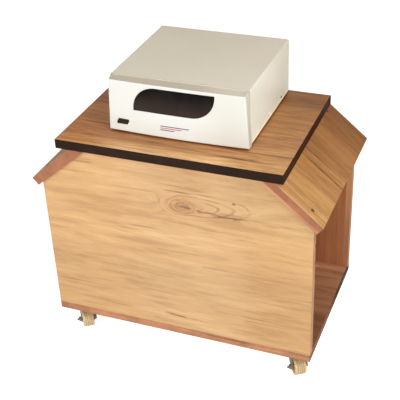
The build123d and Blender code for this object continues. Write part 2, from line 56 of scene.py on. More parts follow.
CORNERS = ("front_left", "front_right", "rear_left", "rear_right")
SIDES = {-1: "left", 1: "right"}
ACROSS, DEPTH, UPRIGHT = Vector((1, 0, 0)), Vector((0, 1, 0)), Vector((0, 0, 1))


# ---------------- places taken from the frame
def low(node):
    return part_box(node)[0]


def high(node):
    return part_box(node)[1]


def middle(node):
    return (low(node) + high(node)) / 2


PANEL_BACK = high("front_panel").y
PANEL_TOP = high("front_panel").z
PANEL_END = high("front_panel").x
UNIT_X = middle("top_cover").x
UNIT_HALF = (high("top_cover").x - low("top_cover").x) / 2
UNIT_BOTTOM = low("top_cover").z
UNIT_TOP = high("top_cover").z
UNIT_BACK = high("top_cover").y
COVER_FRONT = low("top_cover").y
SLOPE = math.radians(40.16)                  # of the sloping shoulders, from level
DOWN_SLOPE = {side: Vector((side * math.cos(SLOPE), 0, -math.sin(SLOPE))) for side in SIDES}
OFF_SLOPE = {side: Vector((side * math.sin(SLOPE), 0, math.cos(SLOPE))) for side in SIDES}
WING_TIP_Z = low("right_wing").z + 0.0158    # height of a wing's outermost edge
WING_UNDER = min(vertex.co.dot(OFF_SLOPE[1]) for vertex in nodes["right_wing"].data.vertices)


# ---------------- short hand for node trees
class Value:
    """Output of a shader node. Arithmetic on it adds the nodes that work the result out."""

    def __init__(self, socket):
        self.socket = socket
        self.tree = socket.id_data

    def __add__(self, other):
        return calc("ADD", self, other)

    def __sub__(self, other):
        return calc("SUBTRACT", self, other)

    def __rsub__(self, other):
        return calc("SUBTRACT", other, self)

    def __mul__(self, other):
        return calc("MULTIPLY", self, other)

    def __truediv__(self, other):
        return calc("DIVIDE", self, other)

    def __abs__(self):
        return calc("ABSOLUTE", self)


def tree_of(values):
    return next(value.tree for value in values if isinstance(value, Value))


def put(socket, value):
    if isinstance(value, Value):
        value.tree.links.new(value.socket, socket)
    else:
        socket.default_value = value


def add(kind, inputs=(), out=0, tree=None, **settings):
    """Shader node with inputs by place or by name, in their tree. Gives its output of that place or name."""
    pairs = dict(inputs if isinstance(inputs, dict) else enumerate(inputs))
    node = (tree or tree_of(pairs.values())).nodes.new("ShaderNode" + kind)
    for key, value in settings.items():
        setattr(node, key, value)
    for key, value in pairs.items():
        put(node.inputs[key], value)
    return Value(node.outputs[out])


def calc(operation, *values, clamp=False):
    return add("Math", values, operation=operation, use_clamp=clamp)


def vector_calc(operation, *values):
    out = "Value" if operation in ("DOT_PRODUCT", "DISTANCE") else "Vector"
    return add("VectorMath", values, out, operation=operation)


def remap(value, low_in, high_in, low_out=0.0, high_out=1.0):
    return add("MapRange", (value, low_in, high_in, low_out, high_out), interpolation_type="SMOOTHSTEP")


def blend(factor, first, second, mode="MIX"):
    return add("Mix", {0: factor, 6: first, 7: second}, 2, data_type="RGBA", blend_type=mode)


def shaded(mask, colour, tone):
    """Multiply the colour by a tone's three shares where the mask is 1."""
    return blend(mask, colour, (*tone, 1.0), "MULTIPLY")


def scaled(place, shares):
    return vector_calc("MULTIPLY", place, shares)


def joined(*values):
    return add("CombineXYZ", values)


def parts(place):
    """The vector's X, Y and Z."""
    node = add("SeparateXYZ", (place,)).socket.node
    return [Value(socket) for socket in node.outputs]


def noise(place, scale, detail=2.0, roughness=0.5):
    """Noise by one scale, or by a scale for each axis."""
    if isinstance(scale, tuple):
        place, scale = scaled(place, scale), 1.0
    return add("TexNoise", {"Vector": place, "Scale": scale, "Detail": detail, "Roughness": roughness})


def rgb(red, green, blue, share=1.0):
    """Screen colour, 0 to 255, as the linear colour that a shader takes, times a share."""
    def linear(level):
        level /= 255
        return level / 12.92 if level <= 0.04045 else ((level + 0.055) / 1.055) ** 2.4
    return tuple(min(1.0, linear(level) * share) for level in (red, green, blue)) + (1.0,)


def new_group(name, outputs, **inputs):
    """Node group. Inputs are vectors (None), colours or numbers. Gives them and a function that ends it."""
    tree = bpy.data.node_groups.new(name, "ShaderNodeTree")
    for label, value in inputs.items():
        kind = "Vector" if value is None else "Color" if isinstance(value, tuple) else "Float"
        socket = tree.interface.new_socket(name=label, in_out="INPUT", socket_type="NodeSocket" + kind)
        if value is not None:
            socket.default_value = value
    for label in outputs:
        kind = "Color" if label == "Color" else "Float"
        tree.interface.new_socket(name=label, in_out="OUTPUT", socket_type="NodeSocket" + kind)
    start = tree.nodes.new("NodeGroupInput")
    end = tree.nodes.new("NodeGroupOutput")

    def finish(*values):
        for label, value in zip(outputs, values):
            put(end.inputs[label], value)
        return tree
    return {socket.name: Value(socket) for socket in start.outputs}, finish


def use_group(group, **values):
    node = tree_of(values.values()).nodes.new("ShaderNodeGroup")
    node.node_tree = group
    for label, value in values.items():
        put(node.inputs[label], value)
    return {socket.name: Value(socket) for socket in node.outputs}


def new_material(name):
    """Gives the place on the object, and a function that ends the material.

    That function takes the colour, the height of the relief with its depth in metres and its strength,
    and more of the shader's sockets, with underscores for spaces.
    """
    material = bpy.data.materials.new(name)
    material.use_nodes = True
    tree = material.node_tree

    def finish(colour, height, depth, strength, **sockets):
        relief = add("Bump", {"Height": height, "Distance": depth, "Strength": strength})
        for label, value in dict(sockets, Base_Color=colour, Normal=relief).items():
            put(tree.nodes["Principled BSDF"].inputs[label.replace("_", " ")], value)
        return material
    return add("TexCoord", out="Object", tree=tree), finish


# ---------------- effects that several finishes share
def make_board_figure():
    """Printed wood figure. Place runs along the grain in X and across it in Y, in metres."""
    given, finish = new_group(
        "board figure", ("Color", "Roughness", "Height"), Place=None, Light=rgb(200, 150, 100),
        Middle=rgb(170, 120, 76), Dark=rgb(132, 86, 52), Streak=rgb(84, 50, 30), Streaks=0.7, Stretch=1.0,
        Crispness=0.0)
    place = given["Place"]
    sway = noise(place, (2.6, 6.0, 1.0))
    ripple = noise(place, (12.0, 34.0, 1.0))
    place = vector_calc("ADD", place, joined(0.0, (sway - 0.5) * 0.018 + (ripple - 0.5) * 0.004, 0.0))
    place = vector_calc("MULTIPLY", place, joined(given["Stretch"], 1.0, 1.0))
    bands = noise(place, (2.0, 15.0, 1.0), 2.0, 0.55)
    streaks = noise(place, (8.0, 66.0, 3.0), 4.0, 0.62)
    fine = noise(place, (34.0, 600.0, 5.0), 2.0, 0.6)
    tone = bands * 0.38 + streaks * 0.46 + fine * 0.16 + (fine - 0.5) * given["Crispness"]
    tone = remap(tone, 0.36, 0.64)
    colour = blend(remap(tone, 0.0, 0.5), given["Dark"], given["Middle"])
    colour = blend(remap(tone, 0.5, 1.0), colour, given["Light"])
    lines = remap(noise(place, (3.4, 150.0, 9.0)), 0.56, 0.68)
    lines = lines * remap(noise(place, (7.0, 22.0, 4.0), 1.0), 0.48, 0.62)
    colour = blend(lines * given["Streaks"], colour, given["Streak"])
    pores = remap(noise(place, (70.0, 1300.0, 2.0), 1.0), 0.60, 0.74)
    colour = blend(pores * 0.30, colour, given["Dark"])
    return finish(colour, remap(fine * 0.5 + pores * 0.5, 0.1, 0.8, 0.38, 0.56), fine - pores)


def make_grain_mark():
    """Soft mark that follows the grain. Reach is its half length and Width its half width, in metres."""
    given, finish = new_group("grain mark", ("Mask",), Place=None, Middle=None, Reach=0.05, Width=0.003)
    wobble = noise(given["Place"], (16.0, 5.0, 1.0)) - 0.5
    along, across, _ = parts(vector_calc("SUBTRACT", given["Place"], given["Middle"]))
    along = along / given["Reach"]
    across = (across + wobble * 0.008) / given["Width"]
    grit = noise(given["Place"], (60.0, 400.0, 1.0))
    near = remap(along * along + across * across, 1.0, 0.0)
    return finish(near * remap(grit, 0.3, 0.6, 0.4, 1.0))


def make_handling():
    """Faint smudges and dust that change the gloss and the tone over a surface."""
    given, finish = new_group("handling", ("Mask",), Place=None, Size=9.0, Amount=0.5)
    wide = noise(given["Place"], given["Size"], 3.0, 0.6)
    specks = noise(scaled(given["Place"], (40.0, 40.0, 40.0)), given["Size"], 1.0)
    return finish(remap(wide, 0.35, 0.7) * given["Amount"] + remap(specks, 0.66, 0.72) * 0.15)


def smudges(place, size, amount):
    return use_group(HANDLING, Place=place, Size=size, Amount=amount)["Mask"]


def make_skin():
    """Fine orange-peel or spark texture of a coat or a moulding."""
    given, finish = new_group("fine skin", ("Height", "Tone"), Place=None, Grain=1400.0)
    fine = noise(given["Place"], given["Grain"])
    coarse = noise(given["Place"], given["Grain"] * 0.23)
    return finish(fine * 0.6 + coarse * 0.4, remap(coarse, 0.3, 0.7))


def make_plating():
    """Zinc plating: small crystals, faint rainbow film and rubbed spots."""
    given, finish = new_group("plating", ("Color", "Roughness", "Height"), Place=None,
                              Color=rgb(196, 190, 176))
    flakes = add("TexVoronoi", {"Vector": given["Place"], "Scale": 420.0}, "Color")
    flake = add("RGBToBW", (flakes,))
    cloud = noise(given["Place"], 60.0, 3.0, 0.6)
    film = add("ValToRGB", (cloud,))
    stops = film.socket.node.color_ramp.elements
    stops.new(0.5)
    for stop, at, tint in zip(stops, (0.32, 0.5, 0.68), ((172, 160, 118), (196, 190, 176), (168, 172, 178))):
        stop.position = at
        stop.color = rgb(*tint)
    colour = blend(flake * 0.18, blend(0.45, given["Color"], film), rgb(120, 118, 112))
    return finish(colour, flake * 0.10 + remap(cloud, 0.3, 0.7, 0.26, 0.42), flake + cloud)


BOARD_FIGURE = make_board_figure()
GRAIN_MARK = make_grain_mark()
HANDLING = make_handling()
SKIN = make_skin()
PLATING = make_plating()


# ---------------- tone changes over a surface, several of them painted light and shade
def fall_of(*rows):
    """Function of the object place and a colour that multiplies the colour by tones.

    Each row is a tone and the ramps whose product says where it holds: (axis, where it starts, where it is
    full) and, if they are not 0 and 1, its two levels. (axis, place) stands for the distance to that place.
    """
    def fall(place, colour):
        split = dict(zip("XYZ", parts(place)))
        for tone, *ramps in rows:
            masks = [remap(split[axis] if axis in split else abs(split[axis[0]] - axis[1]), *span)
                     for axis, *span in ramps]
            colour = shaded(math.prod(masks[1:], start=masks[0]) if masks else 1.0, colour, tone)
        return colour
    return fall


# Deck: yellow and pale along the front edge and in the right corner, and redder towards the back, with a painted
# highlight along the front edge and a painted shadow beside the unit's left side.
DECK_FRONT = ("Y", -0.145, -0.182)
DECK_TONES = fall_of(
    ((1.14, 1.20, 1.17), DECK_FRONT),
    ((1.14, 1.20, 1.20), DECK_FRONT, ("X", -0.05, 0.22, 0.4, 1.0)),
    ((0.80, 0.63, 0.41), ("X", -0.15, -0.19), ("Y", -0.03, 0.05)),
    ((1.11, 1.18, 1.18), ("Y", -0.07, -0.15), ("X", 0.10, 0.20)),
    ((1.34, 1.56, 1.88), ("Y", -0.162, -0.182), (("X", 0.005), 0.17, 0.09)),
    ((0.95, 0.79, 0.58), ("X", -0.10, -0.20)),
    ((0.96, 0.95, 0.82), ("Y", -0.12, 0.02), ("X", 0.14, 0.21)),
    ((0.80, 0.74, 0.56), ("Y", -0.04, 0.10)),
    ((0.77, 0.69, 0.50), ("Y", 0.07, 0.11)))


def deck_fall(place, colour):
    """The deck's tones, and a painted contact shadow round where the unit stands."""
    across, depth, _ = parts(place)
    out = calc("MAXIMUM", COVER_FRONT - 0.015 - depth, depth - UNIT_BACK)
    out = calc("MAXIMUM", abs(across - UNIT_X) - UNIT_HALF, out)
    return shaded(remap(out, 0.0045, -0.001), DECK_TONES(place, colour), (0.68, 0.58, 0.48))


# Wings: pale at the front end and redder at the back end.
WING_FALL = fall_of(
    ((1.00, 0.97, 0.87), ("Y", -0.10, -0.03)),
    ((1.10, 1.20, 1.45), ("Z", PANEL_TOP - 0.030, PANEL_TOP - 0.085), ("Y", -0.14, -0.06)),
    ((1.10, 1.20, 1.22), ("Y", -0.05, -0.17)),
    ((1.32, 1.46, 1.72), ("Y", -0.11, -0.17)),
    ((0.80, 0.70, 0.57), ("Y", -0.04, 0.12)),
    ((1.20, 1.25, 1.20), ("Y", -0.15, -0.09), ("Y", 0.02, -0.05)),
    ((0.72, 0.68, 0.66), ("Y", 0.09, 0.18)))
# Lining of the bay: greyer low down, with a painted strip of light at its right end that fades downwards.
LINING_BAND = ("X", PANEL_END - 0.0140, PANEL_END - 0.0095)
LINING_FALL = fall_of(
    ((1.02, 1.06, 1.18), ("Z", 0.34, 0.16)),
    ((1.04, 1.08, 1.12),),
    ((1.04, 1.12, 1.24), LINING_BAND),
    ((1.52, 1.88, 1.86), LINING_BAND, ("Z", 0.15, 0.26)))
# Floor of the bay: paler towards the back.
FLOOR_FALL = fall_of(((0.70, 0.68, 0.66), ("Y", 0.04, -0.05)), ((1.22, 1.27, 1.27), ("Y", 0.04, 0.12)))
# End band of the base board: as brown as the floor in front, and nearly black behind.
BAND_FALL = fall_of(((0.23, 0.19, 0.14), ("Y", -0.03, 0.07)))
# Edging strip: a little browner round the ends than along the front.
STRIP_FRONT = low("top_edge_band").y
STRIP_FALL = fall_of(((1.30, 0.80, 0.45), ("Y", STRIP_FRONT + 0.0012, STRIP_FRONT + 0.004)),
                     ((0.97, 0.56, 0.24), ("Y", -0.09, 0.04)))
# Ledge: painted shade, a little darker over its left and middle parts.
LEDGE_FALL = fall_of(((1.05, 1.06, 1.08),), ((0.84, 0.83, 0.80), ("X", UNIT_X + 0.11, UNIT_X + 0.03)))
# White moulding: painted light and shade, darker towards its right end, brighter and cooler low down where it
# leans away from the light, and creamier on its cheeks.
MOULD_LOW, MOULD_HIGH = low("front_fascia"), high("front_fascia")
CHEEK_START = UNIT_HALF - 0.0032
FACE_FALL = fall_of(
    ((0.94, 0.95, 0.925), ("X", UNIT_X + 0.01, UNIT_X + 0.12)),
    ((1.06, 1.11, 1.13), ("Z", MOULD_HIGH.z, MOULD_LOW.z), ("X", UNIT_X + 0.13, UNIT_X + 0.02)),
    ((0.88, 0.83, 0.75), ("Y", MOULD_LOW.y + 0.0062, MOULD_LOW.y + 0.0078),
     (("X", UNIT_X), CHEEK_START, CHEEK_START + 0.0006)))
# Cover: painted light and shade on one cream coat. It is less yellow and brighter on its side walls, above all low
# down and in front, darker towards the back of those walls, a little brighter towards the front, warmer along its
# lower edge as a painted reflection of the wood, and darker on its front bend.
COVER_SIDE = (("X", UNIT_X), UNIT_HALF - 0.003, UNIT_HALF - 0.0006)
COVER_FALL = fall_of(
    ((1.06, 1.13, 1.19), COVER_SIDE, ("Y", 0.12, -0.04)),
    ((1.12, 1.18, 1.24), COVER_SIDE, ("Z", UNIT_TOP - 0.02, UNIT_BOTTOM)),
    ((1.03, 1.05, 1.07), ("Y", 0.03, -0.10)),
    ((1.06, 0.93, 0.78), ("Z", UNIT_BOTTOM + 0.0034, UNIT_BOTTOM + 0.0018)),
    ((0.94, 0.95, 0.96), COVER_SIDE, ("Y", 0.0, 0.12)),
    ((0.84, 0.84, 0.86), ("Y", COVER_FRONT + 0.0034, COVER_FRONT + 0.0012)))
# Front board: painted light fall-off, darker round the middle and in the upper and right parts.
FRONT_FALL = fall_of(
    ((0.970, 0.990, 0.970),),
    ((0.91, 0.94, 0.93), ("X", 0.06, 0.16), ("Z", 0.34, 0.40)),
    ((0.91, 0.91, 0.91), ("Z", 0.28, 0.23)),
    ((1.05, 1.05, 1.05), ("Z", 0.20, 0.12)),
    ((0.95, 0.94, 0.95), ("X", -0.13, -0.04), ("Z", 0.35, 0.42)),
    ((0.91, 0.90, 0.87), ("X", 0.10, 0.27), ("Z", 0.36, 0.26)),
    ((1.00, 1.04, 1.11), (("X", 0.03), 0.2, 0.08)))


# ---------------- board finishes
BOARD_TONES = ((206, 152, 100), (184, 129, 81), (158, 107, 66), (78, 46, 28))
BOARD_RELIEF = (0.00006, 0.6)           # depth and strength


def marked(place, colour, tone, marks):
    """Marks along the grain: each is (along, across, half length, half width, strength)."""
    for along, across, reach, width, strength in marks:
        mark = use_group(GRAIN_MARK, Place=place, Middle=(along, across, 0.0), Reach=reach, Width=width)
        colour = blend(mark["Mask"] * strength, colour, tone)
    return colour


def brown_board(name, along, across, start, fall, shade=(1.0, 1.0, 1.0), streaks=0.6, marks=(), contrast=1.0,
                specular=0.35, crowd=1.0, crispness=0.0):
    """Walnut-coloured laminate whose grain runs along one way, from a start in the endless figure."""
    object_place, finish = new_material(name)

    ways = (along, across, along.cross(across))

    def grain_place(place):
        return joined(*(vector_calc("DOT_PRODUCT", place, way) for way in ways))

    plain = rgb(*BOARD_TONES[1])
    tones = [tuple((even + (level - even) * contrast) * part
                   for level, even, part in zip(rgb(*tone), plain, shade)) + (1.0,) for tone in BOARD_TONES]
    place = scaled(grain_place(vector_calc("ADD", object_place, start)), (1.0, crowd, 1.0))
    figure = use_group(BOARD_FIGURE, Place=place, Light=tones[0], Middle=tones[1], Dark=tones[2],
                       Streak=tones[3], Streaks=streaks, Stretch=0.8, Crispness=crispness)
    colour = fall(object_place, marked(grain_place(object_place), figure["Color"], tones[3], marks))
    smudge = smudges(object_place, 7.0, 0.5)
    return finish(colour, figure["Height"], *BOARD_RELIEF, Roughness=figure["Roughness"] + smudge * 0.08,
                  Specular_IOR_Level=specular)


KNOT = Vector((0.027, 0, 0.401))        # middle of the knot in the front board
KNOT_LEFT = 0.055                       # its reach to the left, to the right and up
KNOT_RIGHT = 0.138
KNOT_RISE = 0.032
KNOT_EYE = (0.032, 0.020)               # half width and half height of its small inner oval
KNOT_LINES = ((0.026, 0.3990, 0.018, 0.0050, 0.80), (0.034, 0.3968, 0.011, 0.0036, 1.00),
              (0.0600, 0.3936, 0.008, 0.0040, 0.95), (0.082, 0.3940, 0.030, 0.0026, 0.95),
              (0.114, 0.3905, 0.036, 0.0028, 0.90), (0.147, 0.3925, 0.026, 0.0026, 0.70),
              (0.135, 0.4262, 0.006, 0.0032, 0.95), (0.150, 0.4268, 0.014, 0.0018, 0.35),
              (0.016, 0.4320, 0.046, 0.0030, 0.65), (0.025, 0.4450, 0.064, 0.0022, 0.50),
              (0.182, 0.3945, 0.024, 0.0020, 0.38), (0.213, 0.3885, 0.022, 0.0020, 0.34),
              (0.246, 0.3920, 0.024, 0.0020, 0.30))
FRONT_MARKS = ((-0.021, 0.1100, 0.016, 0.0030, 0.70), (-0.002, 0.1068, 0.026, 0.0034, 0.90),
               (0.034, 0.1055, 0.045, 0.0028, 0.50), (-0.250, 0.262, 0.090, 0.0060, 0.16),
               (-0.210, 0.236, 0.110, 0.0070, 0.14), (0.150, 0.255, 0.120, 0.0050, 0.12))


def length_of(first, second):
    """Square root of the sum of two squares."""
    return calc("SQRT", first * first + second * second)


def knot_distance(place):
    """About 0 at the knot's heart and 1 on its outer ring, with a longer reach to the right."""
    across, _, height = parts(place)
    across = across - KNOT.x
    height = height - KNOT.z + (noise(place, (16.0, 1.0, 38.0), 3.0) - 0.5) * 0.016
    reach = calc("LESS_THAN", across, 0.0) * (KNOT_LEFT - KNOT_RIGHT) + KNOT_RIGHT
    rise = calc("MAXIMUM", across, 0.0) * 0.07
    return length_of((height - rise) / KNOT_RISE, across / reach)


def eye_distance(place):
    """0 at the heart and 1 on the small inner oval."""
    across, _, height = parts(place)
    wobble = (noise(place, (40.0, 1.0, 60.0)) - 0.5) * 0.010
    across = across - (KNOT.x - 0.004)
    height = height - (KNOT.z - 0.002) + wobble
    return length_of(across / KNOT_EYE[0], height / KNOT_EYE[1])


def knot_marks(place, flat_place, colour):
    """Fine broken rings round a small dark eye, and the thin dark lines that run out of it."""
    broken = remap(noise(place, (30.0, 1.0, 50.0)), 0.36, 0.64, 0.15, 1.0)
    dark = rgb(152, 102, 66)
    ring, eye = knot_distance(place), eye_distance(place)
    rings = remap(calc("SINE", ring * 26.0), 0.55, 1.0) * remap(ring, 0.95, 1.15, 0.72, 0.0)
    colour = blend(rings * broken, colour, dark)
    rings = remap(calc("SINE", eye * 17.0), 0.2, 1.0) * remap(eye, 0.8, 1.1, 0.85, 0.0)
    colour = blend(remap(eye, 0.3, 1.2, 0.60, 0.0), colour, rgb(188, 132, 88))
    return marked(flat_place, blend(rings * broken, colour, dark), rgb(108, 68, 44), KNOT_LINES)


def front_laminate():
    """Honey laminate with grain across the board and one eye-shaped knot."""
    place, finish = new_material("honey laminate")
    across, _, height = parts(place)
    ring = knot_distance(place)
    near = remap(ring, 0.7, 1.5, 1.0, 0.0)
    bent = calc("SIGN", height - KNOT.z) * (ring * KNOT_RISE) + KNOT.z
    bent = (1.0 - near) * height + near * bent
    figure = use_group(BOARD_FIGURE, Place=joined(across, bent, 0.0), Light=rgb(229, 184, 131),
                       Middle=rgb(216, 169, 117), Dark=rgb(199, 150, 102), Streak=rgb(156, 106, 68),
                       Streaks=0.6)
    flat_place = joined(across, height, 0.0)
    colour = knot_marks(place, flat_place, figure["Color"])
    wide = noise(place, (5.0, 1.0, 9.0))
    colour = blend(remap(wide, 0.35, 0.7, 0.0, 0.25), colour, rgb(206, 158, 108))
    colour = FRONT_FALL(place, marked(flat_place, colour, rgb(132, 90, 58), FRONT_MARKS))
    smudge = smudges(place, 6.0, 0.45)
    return finish(colour, figure["Height"], *BOARD_RELIEF, Roughness=figure["Roughness"] + smudge * 0.08,
                  Specular_IOR_Level=0.3)


def edge_fall(place, colour):
    """Front edge of the right wing: paler along its lower side, most of all at the top."""
    across, _, height = parts(place)
    lower = remap(vector_calc("DOT_PRODUCT", place, OFF_SLOPE[1]), WING_UNDER + 0.0080, WING_UNDER + 0.0030)
    upper = remap(height, PANEL_TOP - 0.09, PANEL_TOP - 0.03, 0.35, 0.85)
    return blend(lower * upper * calc("GREATER_THAN", across, 0.0), colour, rgb(214, 162, 112))


def end_marks(place, colour):
    """Two dark marks at the inner corner of the front panel's right end."""
    for height in (0.351, 0.308):
        away = vector_calc("DISTANCE", place, (PANEL_END, PANEL_BACK - 0.001, height))
        colour = shaded(remap(away, 0.0058, 0.0034), colour, (0.34, 0.24, 0.18))
    return colour


def raw_edge(name, tint, layers=0.0, fall=None):
    """Reddish stained edge of pressed board, with its chips and fibres and, on a long edge, its layers."""
    place, finish = new_material(name)
    chips = noise(place, (260.0, 260.0, 700.0), 3.0, 0.65)
    base, dark, pale = rgb(*tint), rgb(*tint, 0.72), rgb(*tint, 1.18)
    colour = blend(remap(noise(place, 26.0, 3.0, 0.6), 0.3, 0.7), dark, base)
    colour = blend(remap(chips, 0.45, 0.7) * 0.5, colour, pale)
    colour = blend(remap(chips, 0.25, 0.4, 1.0, 0.0) * 0.6, colour, dark)
    if fall:
        colour = fall(place, colour)
    layer = noise(place, (7.0, 7.0, 150.0))
    colour = shaded(remap(layer, 0.46, 0.34) * layers, colour, (0.62, 0.55, 0.50))
    colour = shaded(remap(layer, 0.52, 0.66) * layers, colour, (1.16, 1.20, 1.22))
    return finish(colour, chips, 0.0003, 0.7, Roughness=remap(chips, 0.3, 0.7, 0.62, 0.82),
                  Specular_IOR_Level=0.25)


def black_edging():
    """Satin edging strip with fine drawing lines and pale scuffs."""
    place, finish = new_material("black edging")
    smudge = smudges(place, 16.0, 0.8)
    colour = STRIP_FALL(place, blend(smudge * 0.30, rgb(46, 34, 28), rgb(74, 56, 44)))
    return finish(colour, noise(place, (30.0, 30.0, 2200.0)), 0.00003, 0.5,
                  Roughness=remap(smudge, 0.0, 0.8, 0.45, 0.65), Specular_IOR_Level=0.01)


# ---------------- coats, mouldings and metals
def coat(name, tint, grain, rough, depth=0.00004, specular=0.4, fall=None):
    """Painted or moulded surface: fine skin, faint tone changes and handling marks."""
    place, finish = new_material(name)
    skin = use_group(SKIN, Place=place, Grain=grain)
    smudge = smudges(place, 6.0, 0.6)
    deep = rgb(*tint, 0.90)
    colour = blend(skin["Tone"] * 0.12, blend(smudge * 0.45, rgb(*tint), deep), deep)
    if fall:
        colour = fall(place, colour)
    return finish(colour, skin["Height"], depth, 0.7, Roughness=remap(smudge, 0.0, 0.7, *rough),
                  Specular_IOR_Level=specular)


def zinc(name="zinc plating", tint=(196, 190, 176), tarnish_and_shade=0.0):
    """Plated steel. The last argument mixes in an even dull coat of the tint; on the casters that coat is partly
    tarnished steel and partly painted shade.
    """
    place, finish = new_material(name)
    plating = use_group(PLATING, Place=place, Color=rgb(*tint))
    return finish(blend(tarnish_and_shade, plating["Color"], rgb(*tint)), plating["Height"], 0.00004, 0.5,
                  Roughness=plating["Roughness"] + tarnish_and_shade * 0.5, Metallic=1.0 - tarnish_and_shade)


def smoked_acrylic():
    """Glossy dark brown lens with faint dust and a polished coat."""
    place, finish = new_material("smoked acrylic")
    smudge = smudges(place, 24.0, 0.5)
    # Lighter brown low down and nearly black at the top: a painted change in reflection over the lens.
    rise = remap(parts(place)[2], low("display_window").z, high("display_window").z)
    colour = blend(smudge * 0.12, blend(rise, rgb(54, 43, 37), rgb(8, 7, 6)), rgb(92, 84, 78))
    return finish(colour, noise(place, 90.0, 1.0), 0.00005, 0.2,
                  Roughness=remap(smudge, 0.0, 0.7, 0.10, 0.22), Specular_IOR_Level=0.04)


def nylon():
    """Moulded wheel, slightly yellowed, with dirt from rolling on the tread."""
    place, finish = new_material("cream nylon")
    skin = use_group(SKIN, Place=place, Grain=900.0)
    smudge = smudges(place, 70.0, 0.9)
    colour = blend(smudge * 0.5, rgb(222, 198, 152), rgb(176, 144, 98))
    colour = blend(skin["Tone"] * 0.2, colour, rgb(176, 148, 106))
    return finish(colour, skin["Height"], 0.00005, 0.6, Roughness=remap(smudge, 0.0, 0.9, 0.36, 0.58),
                  Subsurface_Weight=0.15, Subsurface_Scale=0.003)


def circuit_board():
    """Green solder mask with tinned tracks and pads showing through."""
    place, finish = new_material("circuit board")
    cells = add("TexVoronoi", {"Vector": place, "Scale": 130.0, "Randomness": 0.6}, "Distance",
                feature="DISTANCE_TO_EDGE")
    tracks = remap(cells, 0.03, 0.06, 1.0, 0.0)
    pads = remap(add("TexVoronoi", {"Vector": place, "Scale": 260.0}, "Distance"), 0.10, 0.16, 1.0, 0.0)
    colour = blend(pads, blend(tracks * 0.5, rgb(28, 96, 52), rgb(74, 142, 74)), rgb(196, 190, 172))
    return finish(colour, tracks + pads, 0.0001, 0.5, Metallic=pads * 0.8, Roughness=0.34)


def laminated_steel():
    """Stacked core sheets under varnish."""
    place, finish = new_material("core sheets")
    sheets = calc("SINE", parts(place)[1] * (2 * math.pi / 0.0005))
    cloud = noise(place, 60.0, 3.0)
    return finish(blend(remap(cloud, 0.3, 0.7), rgb(74, 72, 70), rgb(104, 96, 86)), sheets, 0.00015, 0.6,
                  Metallic=0.7, Roughness=remap(cloud, 0.3, 0.7, 0.4, 0.62))


def coil_tape():
    """Yellow tape over enamelled wire, in overlapping turns."""
    place, finish = new_material("coil tape")
    turns = calc("SINE", parts(place)[2] * (2 * math.pi / 0.009))
    wrinkle = noise(place, (80.0, 80.0, 500.0), 3.0)
    colour = blend(remap(turns, 0.6, 1.0), rgb(202, 160, 62), rgb(150, 104, 34))
    return finish(colour, turns + wrinkle, 0.0003, 0.6, Roughness=remap(wrinkle, 0.3, 0.7, 0.3, 0.5))


def drawn_metal(name, tint):
    """Machined or extruded metal with fine drawing lines along Y."""
    place, finish = new_material(name)
    cloud = noise(place, 45.0, 3.0)
    return finish(blend(remap(cloud, 0.4, 0.75) * 0.5, rgb(*tint), rgb(*tint, 0.72)),
                  noise(place, (1800.0, 40.0, 1800.0)), 0.00003, 0.5,
                  Metallic=1.0, Roughness=remap(cloud, 0.3, 0.7, 0.25, 0.4))


# ---------------- finishes by node
HONEY = front_laminate()
RAW_EDGE = raw_edge("raw base edge", (186, 130, 94), layers=1.0)
WING_EDGE = raw_edge("raw wing edge", (172, 112, 82), fall=edge_fall)
RAW_EDGE_SIDE = raw_edge("stained board edge", (196, 142, 104), fall=end_marks)
DECK_MARKS = ((-0.050, -0.154, 0.110, 0.0100, 0.22), (0.238, -0.189, 0.0010, 0.0011, 0.9),
              (0.2405, -0.186, 0.0009, 0.0010, 0.7), (0.142, -0.1625, 0.062, 0.0036, 1.0),
              (0.160, -0.1585, 0.034, 0.0022, 0.7), (-0.040, -0.150, 0.028, 0.0060, 0.5),
              (-0.190, -0.158, 0.020, 0.0050, 0.5), (0.205, -0.136, 0.045, 0.0024, 0.4))
WING_MARKS = ((-0.070, -0.033, 0.100, 0.0044, 1.0), (-0.118, -0.007, 0.060, 0.0036, 0.9),
              (-0.050, -0.019, 0.060, 0.0028, 0.5), (-0.080, 0.120, 0.070, 0.0020, 0.35),
              (-0.100, 0.060, 0.050, 0.0018, 0.30), (-0.050, -0.085, 0.050, 0.0020, 0.25))
# The left wing's tones are much darker than the right's: painted shade on the wing that faces away from the lamps.
WING_SHADE = {-1: (0.62, 0.48, 0.34), 1: (0.84, 0.80, 0.66)}
WING_SHINE = {-1: 0.02, 1: 0.12}
DECK_BOARD = brown_board("deck laminate", ACROSS, DEPTH, (0.0, 0.3, 0.0), deck_fall, marks=DECK_MARKS,
                         contrast=0.85, specular=0.2, crowd=1.25, crispness=0.45)
BASE_BOARD = brown_board("base laminate", ACROSS, DEPTH, (0.7, 1.3, 0.0), FLOOR_FALL, (0.81, 0.77, 1.00),
                         streaks=0.25)
BACK_BOARD = brown_board("back laminate", UPRIGHT, ACROSS, (0.2, 0.0, 0.6), LINING_FALL, (0.86, 0.66, 0.62),
                         streaks=0.25, contrast=0.55)
WING_BOARD = {side: brown_board(f"{label} wing laminate", DOWN_SLOPE[side], DEPTH, (0.0, 0.45 * side, 0.1),
                                WING_FALL, WING_SHADE[side], marks=WING_MARKS, contrast=0.80,
                                specular=WING_SHINE[side], crowd=1.25, crispness=0.45)
              for side, label in SIDES.items()}
EDGING = black_edging()
END_BAND = coat("brown end band", (140, 98, 72), 700.0, (0.5, 0.65), specular=0.02, fall=BAND_FALL)
ZINC = zinc()
# Casters' steel: a dull dark coat that is partly tarnished steel and partly painted shade on the forks, plates and
# race rims.
TARNISHED_SHADED_ZINC = zinc("tarnished and shaded caster zinc", (104, 91, 68), 0.55)
NYLON = nylon()
